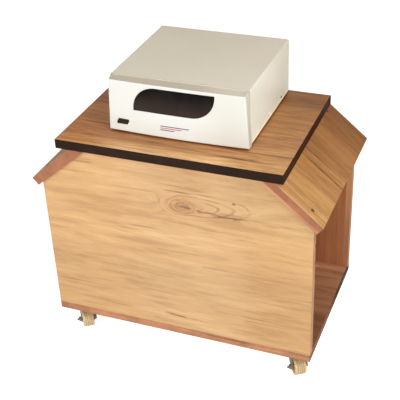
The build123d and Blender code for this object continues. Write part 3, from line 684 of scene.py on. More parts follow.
# Darker colour of the floors of the wheels' grooves.
GROOVE_TONE = coat("groove tone", (182, 153, 106), 700.0, (0.6, 0.8), specular=0.2)
COVER_COAT = coat("cream enamel", (231, 219, 196), 900.0, (0.42, 0.55), 0.00003, fall=COVER_FALL)
WHITE_ABS = coat("white moulding", (230, 229, 222), 1600.0, (0.40, 0.52), 0.00003, fall=FACE_FALL)
BLACK_PLASTIC = coat("black moulding", (38, 35, 33), 1300.0, (0.42, 0.6))
BUTTON_PLASTIC = coat("button moulding", (44, 36, 29), 1300.0, (0.36, 0.5), 0.00003, specular=0.15)
IVORY = coat("ivory moulding", (230, 224, 206), 1500.0, (0.22, 0.36), 0.00002)
BRASS = drawn_metal("brass", (214, 176, 98))
LENS = smoked_acrylic()
# A darker cream than the cover's: painted shade on the sunk ledge.
LEDGE_COAT = coat("ledge coat", (199, 188, 168), 900.0, (0.45, 0.58), 0.00003, fall=LEDGE_FALL)
BLUE_PRINT = coat("blue print", (72, 72, 122), 1600.0, (0.35, 0.45), 0.00002)
RED_PRINT = coat("red print", (206, 84, 84), 1600.0, (0.35, 0.45), 0.00002)
DARK_SCREW = coat("browned screw", (44, 34, 28), 800.0, (0.4, 0.6), 0.00005, specular=0.3)

PLAIN_FINISH = {
    "black_edging": EDGING, "zinc_steel": ZINC, "cream_nylon": NYLON, "cream_enamel": COVER_COAT,
    "white_abs": WHITE_ABS, "smoked_acrylic": LENS, "black_plastic": BLACK_PLASTIC, "ivory_plastic": IVORY,
    "red_plastic": coat("red moulding", (176, 32, 26), 1300.0, (0.24, 0.4), 0.00002), "brass": BRASS,
    "black_rubber": coat("black rubber", (40, 39, 38), 700.0, (0.7, 0.88), 0.00008, specular=0.25),
    "core_steel": laminated_steel(), "coil_tape": coil_tape(), "circuit_board": circuit_board(),
    "heat_sink_aluminium": drawn_metal("heat sink aluminium", (190, 192, 196)),
    "device_epoxy": coat("device epoxy", (36, 36, 38), 1500.0, (0.5, 0.66), 0.00005),
    "capacitor_sleeve": coat("capacitor sleeve", (28, 42, 92), 500.0, (0.2, 0.34), 0.00002),
    "standoff_brass": drawn_metal("standoff brass", (206, 168, 96)),
    "indicator_lens": coat("indicator lens", (60, 150, 76), 900.0, (0.12, 0.24), 0.00001),
}


def finish_node(node, *choices, rest):
    """Give each face of a node the first finish whose ways it faces, or else the rest's finish."""
    mesh = nodes[node].data
    mesh.materials.clear()
    for material in [material for _, material in choices] + [rest]:
        mesh.materials.append(material)
    for face in mesh.polygons:
        hits = [index for index, (ways, _) in enumerate(choices)
                if any(face.normal.dot(way) > 0.9 for way in ways)]
        face.material_index = (hits + [len(choices)])[0]


def finish_solids():
    for row in frame["record"]["subparts"]:
        if row["material_slot"] in PLAIN_FINISH:
            finish_node(row["node"], rest=PLAIN_FINISH[row["material_slot"]])
    flat = (UPRIGHT, -UPRIGHT)
    finish_node("front_panel", ([-DEPTH], HONEY), ([DEPTH], BACK_BOARD), rest=RAW_EDGE_SIDE)
    finish_node("back_panel", ((DEPTH, -DEPTH), BACK_BOARD), rest=RAW_EDGE_SIDE)
    finish_node("top_board", (flat, DECK_BOARD), rest=RAW_EDGE_SIDE)
    finish_node("base_board", (flat, BASE_BOARD), rest=RAW_EDGE)
    for side, label in SIDES.items():
        finish_node(f"{label}_wing", ((OFF_SLOPE[side], -OFF_SLOPE[side]), WING_BOARD[side]), rest=WING_EDGE)
    finish_node("power_button", rest=BUTTON_PLASTIC)
    finish_node("base_end_bands", rest=END_BAND)
    for node in ["caster_plates"] + [f"caster_fork_{corner}" for corner in CORNERS]:
        finish_node(node, rest=TARNISHED_SHADED_ZINC)


finish_solids()


# ---------------- building pieces
SMOOTH_ANGLE = math.radians(35.0)


def link(name, data):
    thing = bpy.data.objects.new(name, data)
    bpy.context.scene.collection.objects.link(thing)
    return thing


def mesh_of(name, shape):
    mesh = bpy.data.meshes.new(name)
    shape.to_mesh(mesh)
    shape.free()
    return mesh


def as_piece(name, shape, body, slot, *materials, facing=None):
    """Finish a bmesh as a piece that rides on a body. Facing tells which way an open sheet looks."""
    bmesh.ops.recalc_face_normals(shape, faces=shape.faces)
    if facing and sum(face.calc_area() * face.normal.dot(facing) for face in shape.faces) < 0:
        bmesh.ops.reverse_faces(shape, faces=shape.faces)
    mesh = mesh_of(name, shape)
    for material in materials:
        mesh.materials.append(material)
    mesh.shade_smooth()
    mesh.set_sharp_from_angle(angle=SMOOTH_ANGLE)
    piece = link(name, mesh)
    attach(piece, body)
    return piece


def bake_modifiers(piece):
    """Replace the piece's mesh with the result of its modifiers."""
    bpy.context.view_layer.update()
    result = bpy.data.meshes.new_from_object(piece.evaluated_get(bpy.context.evaluated_depsgraph_get()))
    piece.modifiers.clear()
    piece.data = result
    result.shade_smooth()
    result.set_sharp_from_angle(angle=SMOOTH_ANGLE)


def thicken(piece, thickness):
    """Give a sheet a wall towards its back."""
    solidify = piece.modifiers.new("wall", "SOLIDIFY")
    solidify.thickness = thickness
    solidify.offset = -1.0
    solidify.use_even_offset = True
    bake_modifiers(piece)


def turning(axis, place, side=None):
    """Matrix that moves the origin to the place and turns Z to the axis and, if given, X to the side."""
    along = Vector(axis).normalized()
    turn = along.to_track_quat("Z", "Y").to_matrix()
    if side is not None:
        turn = Matrix((side, along.cross(side), along)).transposed()
    return Matrix.Translation(place) @ turn.to_4x4()


def circle(radius, steps):
    return [(radius * math.cos(2 * math.pi * step / steps), radius * math.sin(2 * math.pi * step / steps))
            for step in range(steps)]


def bridge(shape, loops, closed=True):
    """Quads between each row of corners and the next, or triangles where corners are the same."""
    for first, second in zip(loops, loops[1:]):
        for index in range(len(first) if closed else len(first) - 1):
            onward = (index + 1) % len(first)
            corners = dict.fromkeys((first[index], first[onward], second[onward], second[index]))
            if len(corners) > 2:
                shape.faces.new(list(corners))


def lathe(shape, profile, matrix, steps=48, closed=True):
    """Turn a profile of (radius, height) points about local Z and place it with the matrix."""
    rings = []
    for radius, height in profile:
        if radius:
            rings.append([shape.verts.new(matrix @ Vector((x, y, height))) for x, y in circle(radius, steps)])
        else:
            rings.append([shape.verts.new(matrix @ Vector((0, 0, height)))] * steps)
    bridge(shape, rings + rings[:1] if closed else rings)


def inset_outline(outline, inset):
    """Closed outline moved inwards along its corners' middle lines. Anticlockwise outlines only."""
    moved = []
    for index, point in enumerate(outline):
        before = Vector(point) - Vector(outline[index - 1])
        after = Vector(outline[(index + 1) % len(outline)]) - Vector(point)
        first = Vector((-before.y, before.x)).normalized()
        way = (first + Vector((-after.y, after.x)).normalized()).normalized()
        moved.append(tuple(Vector(point) + way * inset / max(0.35, way.dot(first))))
    return moved


def outline_loops(shape, outline, section, matrix):
    """Copies of an outline, one for each (inset, height)."""
    return [[shape.verts.new(matrix @ Vector((x, y, height))) for x, y in inset_outline(outline, inset)]
            for inset, height in section]


def stack(shape, outline, section, matrix):
    """Solid through copies of a closed outline, one for each (inset, height)."""
    loops = outline_loops(shape, outline, section, matrix)
    bridge(shape, loops)
    shape.faces.new(loops[0])
    shape.faces.new(loops[-1])


def rim_round(shape, outline, section, matrix):
    """Closed rim along a closed outline: the section's (inset, height) points go all the way round."""
    loops = outline_loops(shape, outline, section, matrix)
    bridge(shape, loops + loops[:1])


def rounded_outline(centre, width, height, radius, steps, lean=0.0):
    """Anticlockwise outline with arcs for corners, from the lower right one. Lean moves its top to +X."""
    corners = [Vector((centre[0] + sx * width / 2 + sy * lean / 2, centre[1] + sy * height / 2))
               for sx, sy in ((1, -1), (1, 1), (-1, 1), (-1, -1))]
    points = []
    for index, corner in enumerate(corners):
        back = (corners[index - 1] - corner).normalized()
        onward = (corners[(index + 1) % 4] - corner).normalized()
        inner = math.acos(back.dot(onward))
        hub = corner + (back + onward).normalized() * radius / math.sin(inner / 2)
        start = corner + back * radius / math.tan(inner / 2) - hub
        for step in range(steps + 1):
            turn = (math.pi - inner) * step / steps
            points.append((hub.x + start.x * math.cos(turn) - start.y * math.sin(turn),
                           hub.y + start.x * math.sin(turn) + start.y * math.cos(turn)))
    return points


def rounded_rectangle(width, height, radius, steps=4):
    return rounded_outline((0, 0), width, height, radius, steps)


def screw_head_mesh(radius, height, flat=False):
    """One screw head along +Z from z = 0, with a cross recess cut in."""
    profile = [(0, 0), (1, 0), (1, 0.35), (0.93, 0.7), (0.72, 0.94), (0.4, 1), (0, 1)]
    if flat:
        profile = [(0, -1), (0.5, -1), (0.97, -0.05), (1, 0.1), (0.9, 0.25), (0, 0.25)]
    head_shape, cut_shape = bmesh.new(), bmesh.new()
    lathe(head_shape, [(r * radius, z * height) for r, z in profile], Matrix(), steps=24, closed=False)
    arm, reach = radius * 0.13, radius * 0.60
    cross, notch = [], [(arm, -reach), (arm, -arm), (reach, -arm)]
    for _ in range(4):
        cross += notch
        notch = [(-y, x) for x, y in notch]
    stack(cut_shape, cross, ((0, height * (-0.3 if flat else 0.42)), (0, height * 2)), Matrix())
    bmesh.ops.recalc_face_normals(cut_shape, faces=cut_shape.faces)
    head = link("screw head", mesh_of("screw head", head_shape))
    cutter = link("recess", mesh_of("recess", cut_shape))
    cut = head.modifiers.new("recess", "BOOLEAN")
    cut.operation = "DIFFERENCE"
    cut.object = cutter
    bake_modifiers(head)
    result = head.data
    for helper in (head, cutter):
        bpy.data.objects.remove(helper)
    return result


def screws(name, head, places, material=ZINC):
    """One piece of screw heads: places lists (place, axis), each turned to its own angle."""
    shape = bmesh.new()
    for place, axis in places:
        start = len(shape.verts)
        shape.from_mesh(head)
        shape.verts.ensure_lookup_table()
        matrix = turning(axis, place) @ Matrix.Rotation(random.uniform(0, math.pi), 4, "Z")
        bmesh.ops.transform(shape, matrix=matrix, verts=shape.verts[start:])
    as_piece(name, shape, "trolley", "zinc_steel", material)


# ---------------- moulded front of the unit
FACE_BOTTOM = MOULD_LOW.z
FACE_TOP = MOULD_HIGH.z
FACE_BACK = MOULD_HIGH.y
FACE_HALF_LOW = (MOULD_HIGH.x - MOULD_LOW.x) / 2
FACE_HALF_HIGH = UNIT_HALF - 0.003
LEDGE_Z = FACE_TOP - 0.0055
CROWN_LOW = 0.0050                           # how far the middle stands forward, at the bottom
CROWN_HIGH = 0.0026                          # and at the ledge
FACE_EDGE_Y = MOULD_LOW.y + CROWN_LOW
FACE_WALL = 0.0024
EDGE_ROUND = 0.0024
RIM_ROUND = 0.0004                           # round the window and the button
HOLE_GAP = 0.0003                            # round the button; the window's is a little less
WINDOW_GAP = 0.0002
LEDGE_ROUND = 0.0008
LIP_DEPTH = 0.0004                           # of the lip in front of the ledge
LIP_DROP = 0.0003                            # from the lip to the sunk ledge
EAR_WIDTH = 0.0016
EAR_RAMP = 0.0005
POCKET_DEPTH = 0.0014
LEDGE_SINK = 0.0012                          # the ledge's coat starts above this depth
LEDGE_START = LEDGE_ROUND + 0.0011           # and behind this much of the face
FACE_SPLIT = low("display_window").x - 0.0058
FACE_RINGS = (0.08, 0.16, 0.26, 0.38, 0.52, 0.68, 0.84, 1.0)    # shares of the way from hole to border
PART_GAP = 0.00005                           # by which window and cap are smaller than their solids
WINDOW_ROUND = 0.050
WINDOW_SINK = 0.0004
BUTTON_SIZE = (0.0250, 0.0115)
BUTTON_ROUND = 0.0026
BUTTON_SLANT = 0.0055
BUTTON_STEPS = 9
BUTTON_PROUD = 0.0012


def between(value, start, end):
    """0 before the start, 1 past the end, and straight in between."""
    return min(1.0, max(0.0, (value - start) / (end - start)))


def face_half(z):
    part = (z - FACE_BOTTOM) / (LEDGE_Z - FACE_BOTTOM)
    return FACE_HALF_LOW + (FACE_HALF_HIGH - FACE_HALF_LOW) * part


def face_y(x, z):
    """Front surface of the moulding: crowned in plan, less so towards the top."""
    crown = CROWN_LOW + (CROWN_HIGH - CROWN_LOW) * between(z, FACE_BOTTOM, LEDGE_Z)
    across = min(1.0, abs(x - UNIT_X) / face_half(z))
    return FACE_EDGE_Y - crown * (1 - across * across)


def mean_point(points):
    return tuple(sum(values) / len(points) for values in zip(*points))


def leaf_outline(grow):
    """Window outline, anticlockwise from above the front: two round and two sharp corners."""
    lens_low, lens_high = low("display_window"), high("display_window")
    x0, x1 = lens_low.x - grow, lens_high.x + grow
    z0, z1 = lens_low.z - grow, lens_high.z + grow
    radius = WINDOW_ROUND + grow
    turns = [math.pi / 2 * step / 26 for step in range(27)]
    half = [(x0 + (x1 - x0 - radius) * step / 8, z0) for step in range(8)]
    half += [(x1 - radius + radius * math.sin(turn), z0 + radius - radius * math.cos(turn)) for turn in turns]
    return half + [(x0 + x1 - x, z0 + z1 - z) for x, z in half]


def button_outline(grow):
    centre = middle("power_button")
    return rounded_outline((centre.x, centre.z), BUTTON_SIZE[0] + 2 * grow, BUTTON_SIZE[1] + 2 * grow,
                           BUTTON_ROUND + grow, BUTTON_STEPS, BUTTON_SLANT)


def crossing(centre, target, outline):
    """Where the ray from the centre through the target leaves the outline."""
    way = Vector(target) - Vector(centre)
    best = None
    for index, first in enumerate(outline):
        first = Vector(first)
        edge = Vector(outline[(index + 1) % len(outline)]) - first
        cross = way.x * edge.y - way.y * edge.x
        if abs(cross) < 1e-14:
            continue
        offset = first - Vector(centre)
        along = (offset.x * edge.y - offset.y * edge.x) / cross
        part = (offset.x * way.y - offset.y * way.x) / cross
        if along > 0 and -1e-6 <= part <= 1 + 1e-6 and (best is None or along > best[0]):
            best = (along, first + edge * part)
    return tuple(best[1])


def stitch(shape, near, far, centre):
    """Triangles between two closed loops of unlike counts, each anticlockwise round the centre."""
    def from_lowest(loop):
        bearings = [math.atan2(vertex.co.z - centre[1], vertex.co.x - centre[0]) for vertex in loop]
        start = bearings.index(min(bearings))
        turned = list(zip(bearings, loop))[start:] + list(zip(bearings, loop))[:start]
        return turned + [(turned[0][0] + 2 * math.pi, turned[0][1])]

    near, far = from_lowest(near), from_lowest(far)
    at_near = at_far = 0
    while at_near < len(near) - 1 or at_far < len(far) - 1:
        corner = (near[at_near][1], far[at_far][1])
        if at_far == len(far) - 1 or (at_near < len(near) - 1 and near[at_near + 1][0] <= far[at_far + 1][0]):
            at_near += 1
            shape.faces.new((corner[0], near[at_near][1], corner[1]))
        else:
            at_far += 1
            shape.faces.new((corner[0], far[at_far][1], corner[1]))


def holed_patch(shape, vertex, border, outline):
    """Sheet between a border loop and a hole."""
    centre = mean_point(outline)
    inner = [crossing(centre, point, outline) for point in border]
    loops = [[vertex(a[0] + (b[0] - a[0]) * share, a[1] + (b[1] - a[1]) * share)
              for a, b in zip(inner, border)] for share in FACE_RINGS]
    bridge(shape, loops)
    rim = sorted({(round(x, 5), round(z, 5)) for x, z in outline + inner},
                 key=lambda point: math.atan2(point[1] - centre[1], point[0] - centre[0]))
    stitch(shape, [vertex(x, z) for x, z in rim], loops[0], centre)


def spread(start, end, count, *extra):
    """Even steps from start to end, and the extra values that lie between them."""
    values = [start + (end - start) * step / count for step in range(count + 1)]
    return sorted(values + [value for value in extra if start < value < end])


def inside_face(place):
    """Where a point of the moulding's skin comes to lie on its inner side."""
    x, y, z = place
    x -= math.copysign(FACE_WALL * between(abs(x - UNIT_X) - face_half(z), -0.012, -0.002), x - UNIT_X)
    y += FACE_WALL * between(FACE_BACK - y, 0, 0.006)
    z += FACE_WALL * between(FACE_BOTTOM - z, -0.012, -0.002)
    z -= FACE_WALL * between(z - high("display_window").z, 0.0008, 0.0063)
    return x, y, z


def give_wall(shape, inside):
    """Close a skin into a shell with an inner copy. Gives the edges in front that were open."""
    skin = list(shape.faces)
    border = [edge for edge in shape.edges if len(edge.link_faces) == 1]
    inner = {vertex: shape.verts.new(inside(vertex.co)) for vertex in list(shape.verts)}
    for face in skin:
        shape.faces.new([inner[vertex] for vertex in reversed(face.verts)])
    for edge in border:
        first, second = edge.verts
        shape.faces.new((first, second, inner[second], inner[first]))
    return [edge for edge in border if max(vertex.co.y for vertex in edge.verts) < FACE_BACK - FACE_WALL]


def make_fascia():
    """Moulded front: crowned face with window and button holes, cheeks, and the ledge under the cover."""
    shape = bmesh.new()
    corners = {}
    bottom, top = FACE_BOTTOM + EDGE_ROUND, LEDGE_Z - LEDGE_ROUND
    inner_half = FACE_HALF_HIGH - EDGE_ROUND - EAR_WIDTH
    turns = [math.pi / 2 * step / 5 for step in range(6)]

    def row_of(places):
        """A corner at each place, shared with the pieces of skin made before."""
        for place in places:
            key = tuple(round(value, 6) for value in place)
            if key not in corners:
                corners[key] = shape.verts.new(place)
            yield corners[key]

    def rows_of(rows):
        return [list(row_of(row)) for row in rows]

    def on_face(x, z):
        return next(row_of([(x, face_y(x, z), z)]))

    def edge_x(side, z):
        return UNIT_X + side * (face_half(z) - EDGE_ROUND)

    def towards(centre, point, axis, value):
        """Other axis of the place where the line from the centre through the point has this value."""
        share = (value - centre[axis]) / (point[axis] - centre[axis])
        return centre[1 - axis] + (point[1 - axis] - centre[1 - axis]) * share

    # The grid has a line through every sharp corner of a hole.
    window, button = leaf_outline(WINDOW_GAP), button_outline(HOLE_GAP)
    window_middle, button_middle = mean_point(window), mean_point(button)
    sharp = (max(x for x, _ in window), max(z for _, z in window))
    right_corners = button[:2 * (BUTTON_STEPS + 1)]
    heights = spread(bottom, top, 22, towards(window_middle, window[0], 0, FACE_SPLIT),
                     *(towards(button_middle, point, 0, FACE_SPLIT) for point in right_corners))
    ears = [UNIT_X + side * (inner_half - step) for side in SIDES for step in (0.0, EAR_RAMP)]
    left_x = spread(edge_x(-1, top), FACE_SPLIT, 12, *ears)
    right_x = spread(FACE_SPLIT, edge_x(1, top), 40, towards(window_middle, sharp, 1, top), *ears)

    def border(xs, left_end, right_end):
        """Anticlockwise loop round one part of the face. Ends give x at each height."""
        start, width = left_end(bottom), right_end(bottom) - left_end(bottom)
        lower = [(start + width * (x - xs[0]) / (xs[-1] - xs[0]), bottom) for x in xs]
        upper = [(x, top) for x in reversed(xs)]
        right = [(right_end(z), z) for z in heights]
        left = [(left_end(z), z) for z in reversed(heights)]
        return lower[:-1] + right[:-1] + upper[:-1] + left[:-1]

    left_border = border(left_x, lambda z: edge_x(-1, z), lambda z: FACE_SPLIT)
    right_border = border(right_x, lambda z: FACE_SPLIT, lambda z: edge_x(1, z))
    holed_patch(shape, on_face, left_border, button)
    holed_patch(shape, on_face, right_border, window)

    def outward(x, z, way_x, way_z):
        """From the face's edge, round it and back along the cheek."""
        places = [(x + way_x * EDGE_ROUND * math.sin(turn), face_y(x, z) + EDGE_ROUND * (1 - math.cos(turn)),
                   z + way_z * EDGE_ROUND * math.sin(turn)) for turn in turns]
        last = places[-1]
        return places + [(last[0], (last[1] + FACE_BACK) / 2, last[2]), (last[0], FACE_BACK, last[2])]

    low_line = sorted({point for point in left_border + right_border if point[1] == bottom})
    side_lines = {side: [(edge_x(side, z), z) for z in heights] for side in SIDES}
    bridge(shape, rows_of(outward(*point, 0, -1) for point in low_line[1:-1]), closed=False)
    for side, line in side_lines.items():
        bridge(shape, rows_of(outward(*point, side, 0) for point in line[1:]), closed=False)
        beside = low_line[1] if side < 0 else low_line[-2]
        turn_rows = (outward(*line[1], side, 0), outward(*line[0], side, -1), outward(*beside, 0, -1))
        bridge(shape, rows_of(turn_rows), closed=False)

    rise = (FACE_TOP - LEDGE_Z) / (FACE_BACK - FACE_EDGE_Y)

    def over_ledge(x, z):
        """From the face, round the front edge, over the lip and up the sloping ledge."""
        y = face_y(x, z)
        sunk = POCKET_DEPTH * between(inner_half - abs(x - UNIT_X), 0, EAR_RAMP)
        places = [(x, y + LEDGE_ROUND * (1 - math.cos(turn)), z + LEDGE_ROUND * math.sin(turn))
                  for turn in turns]
        lip_y, lip_z = places[-1][1] + LIP_DEPTH, places[-1][2] + LIP_DEPTH * rise
        slope = (FACE_TOP - lip_z) / (FACE_BACK - lip_y)
        places.append((x, lip_y, lip_z))
        for part in (0, 0.33, 0.66, 1.0):
            back = LIP_DROP + (FACE_BACK - lip_y - LIP_DROP) * part
            places.append((x, lip_y + back, lip_z + back * slope - sunk))
        return places

    bridge(shape, rows_of(over_ledge(x, top) for x in sorted({*left_x, *right_x})), closed=False)
    for side, line in side_lines.items():
        corner = edge_x(side, top)
        cheek = outward(*line[-1], side, 0)
        ledge = over_ledge(corner, top)
        rows = []
        for turn, first in zip(turns, cheek):
            squeeze = (FACE_BACK - first[1]) / (FACE_BACK - ledge[0][1])
            x, drop = corner + side * EDGE_ROUND * math.sin(turn), LEDGE_ROUND * (1 - math.cos(turn))
            rows.append([first] + [(x, first[1] + (y - ledge[0][1]) * squeeze, z - drop)
                                   for _, y, z in ledge[1:]])
        rows = rows_of(rows)
        bridge(shape, rows, closed=False)
        shape.faces.new(rows[-1] + list(row_of(reversed(cheek[len(turns):]))))
    bmesh.ops.remove_doubles(shape, verts=shape.verts, dist=0.00001)
    rims = give_wall(shape, inside_face)
    bmesh.ops.recalc_face_normals(shape, faces=shape.faces)
    bmesh.ops.bevel(shape, geom=rims, offset=RIM_ROUND, segments=2, profile=0.5, affect="EDGES")
    fascia = as_piece("fascia", shape, "trolley", "white_abs", WHITE_ABS, LEDGE_COAT)
    # The ledge's faces take the darker cream that paints its shade.
    for face in fascia.data.polygons:
        x, y, z = face.center
        if face.normal.z > 0.3 and z > LEDGE_Z - LEDGE_SINK and y > face_y(x, z) + LEDGE_START:
            face.material_index = 1
    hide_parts("front_fascia")


def about(centre, outline, shares):
    """Outline drawn in towards its centre by a share for each axis."""
    return [tuple(hub + (value - hub) * share for value, hub, share in zip(point, centre, shares))
            for point in outline]


def make_lens():
    """Smoked window behind the face's opening, with the face's crown."""
    shape = bmesh.new()
    outline = leaf_outline(-PART_GAP)
    centre = mean_point(outline)
    loops = [[shape.verts.new((x, face_y(x, z) + WINDOW_SINK + (0.0003 if share == 1.0 else 0.0), z))
              for x, z in about(centre, outline, (share, share))]
             for share in (1.0, 0.985, 0.95, 0.8, 0.6, 0.4, 0.2)]
    hub = shape.verts.new((centre[0], face_y(*centre) + WINDOW_SINK, centre[1]))
    bridge(shape, loops + [[hub] * len(outline)])
    lens = as_piece("window_lens", shape, "trolley", "smoked_acrylic", LENS, facing=-DEPTH)
    thicken(lens, 0.002)
    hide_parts("display_window")


def make_button():
    """Slanted push button with a dished face and soft edges."""
    shape = bmesh.new()
    outline = button_outline(-PART_GAP)
    centre = (middle("power_button").x, middle("power_button").z)
    face = face_y(*centre) - BUTTON_PROUD
    loops = []
    for back, inset in ((high("power_button").y - face, 0), (0.0011, 0), (0.0006, 0.0001), (0.0002, 0.0004),
                        (0, 0.0010), (0.0001, 0.0020), (0.0003, 0.0032), (0.0004, 0.0044)):
        shares = [1 - 2 * inset / size for size in BUTTON_SIZE]
        loops.append([shape.verts.new((x, face + back, z)) for x, z in about(centre, outline, shares)])
    bridge(shape, loops)
    shape.faces.new(loops[0])
    shape.faces.new(loops[-1])
    button = as_piece("button_cap", shape, "push_button", "black_plastic", BUTTON_PLASTIC)
    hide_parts("power_button")


STRIPE_X = -0.034                            # where the bars start
STRIPE_TOP = FACE_BOTTOM + 0.0270
STRIPE_HEIGHT = 0.0019
STRIPE_LEAN = 0.0016
STRIPE_STEP = 0.0042                         # from one bar down to the next
STRIPE_PROUD = 0.00012


def make_stripes():
    """Plain printed bars under the window: two blue and one red."""
    for index, (tone, length) in enumerate(((BLUE_PRINT, 0.062), (RED_PRINT, 0.046), (BLUE_PRINT, 0.030))):
        shape = bmesh.new()
        bar_top = STRIPE_TOP - STRIPE_STEP * index
        rows = [[shape.verts.new((x, face_y(x, z) - STRIPE_PROUD, z))
                 for x in spread(STRIPE_X + lean, STRIPE_X + lean + length, 16)]
                for z, lean in ((bar_top, STRIPE_LEAN), (bar_top - STRIPE_HEIGHT, 0.0))]
        bridge(shape, rows, closed=False)
        stripe = as_piece(f"front_stripe_{index + 1}", shape, "trolley", "white_abs", tone, facing=-DEPTH)
        thicken(stripe, 0.0001)


# ---------------- casters
WHEEL_RADIUS = 0.020
WHEEL_HALF = 0.0128                          # half the width
WEB_HALF = WHEEL_HALF - 0.0034               # and of the sunk web
GROOVE_FLOOR = 0.0196
TREAD_HALF = 0.0078
AXLE_END = 0.0212                            # where the axle's free end starts
FORK_SIDE = 0.0162
PLATE_BOTTOM = 0.0550
PLATE_HOLE = 0.018


def axle_of(corner):
    """Place and direction of a wheel's axle."""
    joint = joints[f"roll_{corner}"]
    return Vector(joint["pos_m"]), Vector(joint["axis"]).normalized()


def swivel_of(corner):
    return Vector(joints[f"swivel_{corner}"]["pos_m"])


def make_wheels():
    """Moulded wheels: crowned tread with mould lines, recessed webs with ribs, and a hub."""
    profile = [(0.0031, 0), (0.0062, 0), (0.0068, 0.0006), (0.0074, 0.0034), (0.0150, 0.0034),
               (0.0160, 0.0028), (0.0168, 0.0004), (0.0176, 0), (0.0186, 0.0002), (0.0194, 0.0010),
               (0.0198, 0.0024)]
    profile = [(radius, height - WHEEL_HALF) for radius, height in profile] + [(0.01992, -TREAD_HALF)]
    for groove in (-0.0066, -0.0022):
        profile += [(0.01995, groove - 0.0008), (GROOVE_FLOOR, groove - 0.0005),
                    (GROOVE_FLOOR, groove + 0.0005), (0.01998, groove + 0.0008)]
    profile += [(radius, -height) for radius, height in reversed(profile)]
    rib = rounded_rectangle(0.0092, 0.0014, 0.0005, 2)
    for corner in CORNERS:
        place, axis = axle_of(corner)
        wheel_matrix = turning(axis, place)
        shape = bmesh.new()
        lathe(shape, profile, wheel_matrix, steps=72)
        for side in SIDES:
            for step in range(8):
                turn = Matrix.Rotation(math.pi / 4 * step, 4, "Z") @ Matrix.Translation((0.0113, 0, 0))
                section = ((0, side * (WEB_HALF - 0.0002)), (0, side * (WHEEL_HALF - 0.0008)),
                           (0.0003, side * (WHEEL_HALF - 0.0005)))
                stack(shape, rib, section, wheel_matrix @ turn)
        wheel = as_piece(f"wheel_{corner}", shape, f"caster_roller_{corner}", "cream_nylon",
                         NYLON, GROOVE_TONE)
        for face in wheel.data.polygons:
            arm = face.center - place
            height = arm.dot(axis)
            radius = (arm - axis * height).length
            if abs(height) < TREAD_HALF and radius < WHEEL_RADIUS - 0.0001:
                face.material_index = int(radius > WHEEL_RADIUS - 0.001)
        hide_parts(f"caster_wheel_{corner}")


def make_caster_trim():
    """Axle ends, race rims and plate screws."""
    end = [(0, 0), (0.0024, 0)]
    for ring in range(4):
        end += [(0.0024, 0.0018 + ring * 0.0006), (0.0021, 0.0021 + ring * 0.0006)]
    end = [(radius, AXLE_END + height) for radius, height in end + [(0.0019, 0.0046), (0, 0.0046)]]
    washer = [(radius, FORK_SIDE + height) for radius, height in
              ((0.0026, 0), (0.0052, 0), (0.0054, 0.0003), (0.0052, 0.0006), (0.0026, 0.0006))]
    rim = [(0.0160, 0.0500), (0.0166, 0.0503), (0.0168, 0.0512), (0.0166, 0.0521), (0.0160, 0.0524)]
    bead = [(0.0160, 0.0536), (0.0178, 0.0540), (0.0186, 0.0550), (0.0160, 0.0550)]
    heads = screw_head_mesh(0.0036, 0.0022)
    places = []
    for corner in CORNERS:
        place, axis = axle_of(corner)
        shape = bmesh.new()
        lathe(shape, end, turning(-axis, place), steps=24, closed=False)
        for way in SIDES:
            lathe(shape, washer, turning(axis * way, place), steps=36)
        as_piece(f"axle_ends_{corner}", shape, f"caster_swivel_{corner}", "zinc_steel", TARNISHED_SHADED_ZINC)
        swivel = swivel_of(corner)
        places += [(Vector((swivel.x + dx, swivel.y + dy, PLATE_BOTTOM)), -UPRIGHT)
                   for dx in (-PLATE_HOLE, PLATE_HOLE) for dy in (-PLATE_HOLE, PLATE_HOLE)]
    screws("caster_screws", heads, places)
    shape = bmesh.new()
    for corner in CORNERS:
        swivel = swivel_of(corner)
        for ring in (rim, bead):
            lathe(shape, ring, Matrix.Translation((swivel.x, swivel.y, 0)))
    as_piece("race_rims", shape, "trolley", "zinc_steel", TARNISHED_SHADED_ZINC)


# ---------------- fixings of the trolley
BRACKET_X = 0.1179                           # middle of an angle bracket
BRACKET_SHEET = 0.002
BRACKET_HOLE_X = 0.006                       # a hole from the bracket's middle
BRACKET_HOLE_LOW = 0.0194                    # the holes on the panel, below the top board
BRACKET_HOLE_DEEP = 0.019                    # and those under the top board, from the panel
PANEL_MIDDLE = middle("back_panel").y        # of its thickness; the front panel's is as far to the front
WING_SCREWS = ((0.0835, -0.162), (0.0080, 0.164))    # down the slope from the top board, and depth
BASE_SCREWS_X = (-0.20, -0.067, 0.067, 0.20)


def make_trolley_screws():
    flat = screw_head_mesh(0.0038, 0.0024, flat=True)
    on_board = [(on_wing(side, down, y), OFF_SLOPE[side]) for side in SIDES for down, y in WING_SCREWS]
    screws("wing_screws", flat, on_board, material=DARK_SCREW)
    below = [(Vector((x, y, low("base_board").z)), -UPRIGHT)
             for x in BASE_SCREWS_X for y in (-PANEL_MIDDLE, PANEL_MIDDLE)]
    screws("base_screws", flat, below, material=DARK_SCREW)
    places = []
    for side in SIDES:
        for face, way in ((PANEL_BACK, 1), (low("back_panel").y, -1)):
            for x in (side * BRACKET_X - BRACKET_HOLE_X, side * BRACKET_X + BRACKET_HOLE_X):
                on_panel = Vector((x, face + way * BRACKET_SHEET, PANEL_TOP - BRACKET_HOLE_LOW))
                under_top = Vector((x, face + way * BRACKET_HOLE_DEEP, PANEL_TOP - BRACKET_SHEET))
                places += [(on_panel, DEPTH * way), (under_top, -UPRIGHT)]
    screws("bracket_screws", screw_head_mesh(0.0032, 0.0020), places)


def on_wing(side, down, y):
    """Place on a wing's outer face: so far down the slope from where the top board ends."""
    place = Vector((side * high("top_board").x, y, PANEL_TOP)) + DOWN_SLOPE[side] * down
    tip = Vector((side * high("right_wing").x, y, WING_TIP_Z))
    return place + OFF_SLOPE[side] * (tip - place).dot(OFF_SLOPE[side])


# ---------------- cover, back wall and fittings
COVER_SCREW_RISE = 0.0088                    # above the cover's lower edge


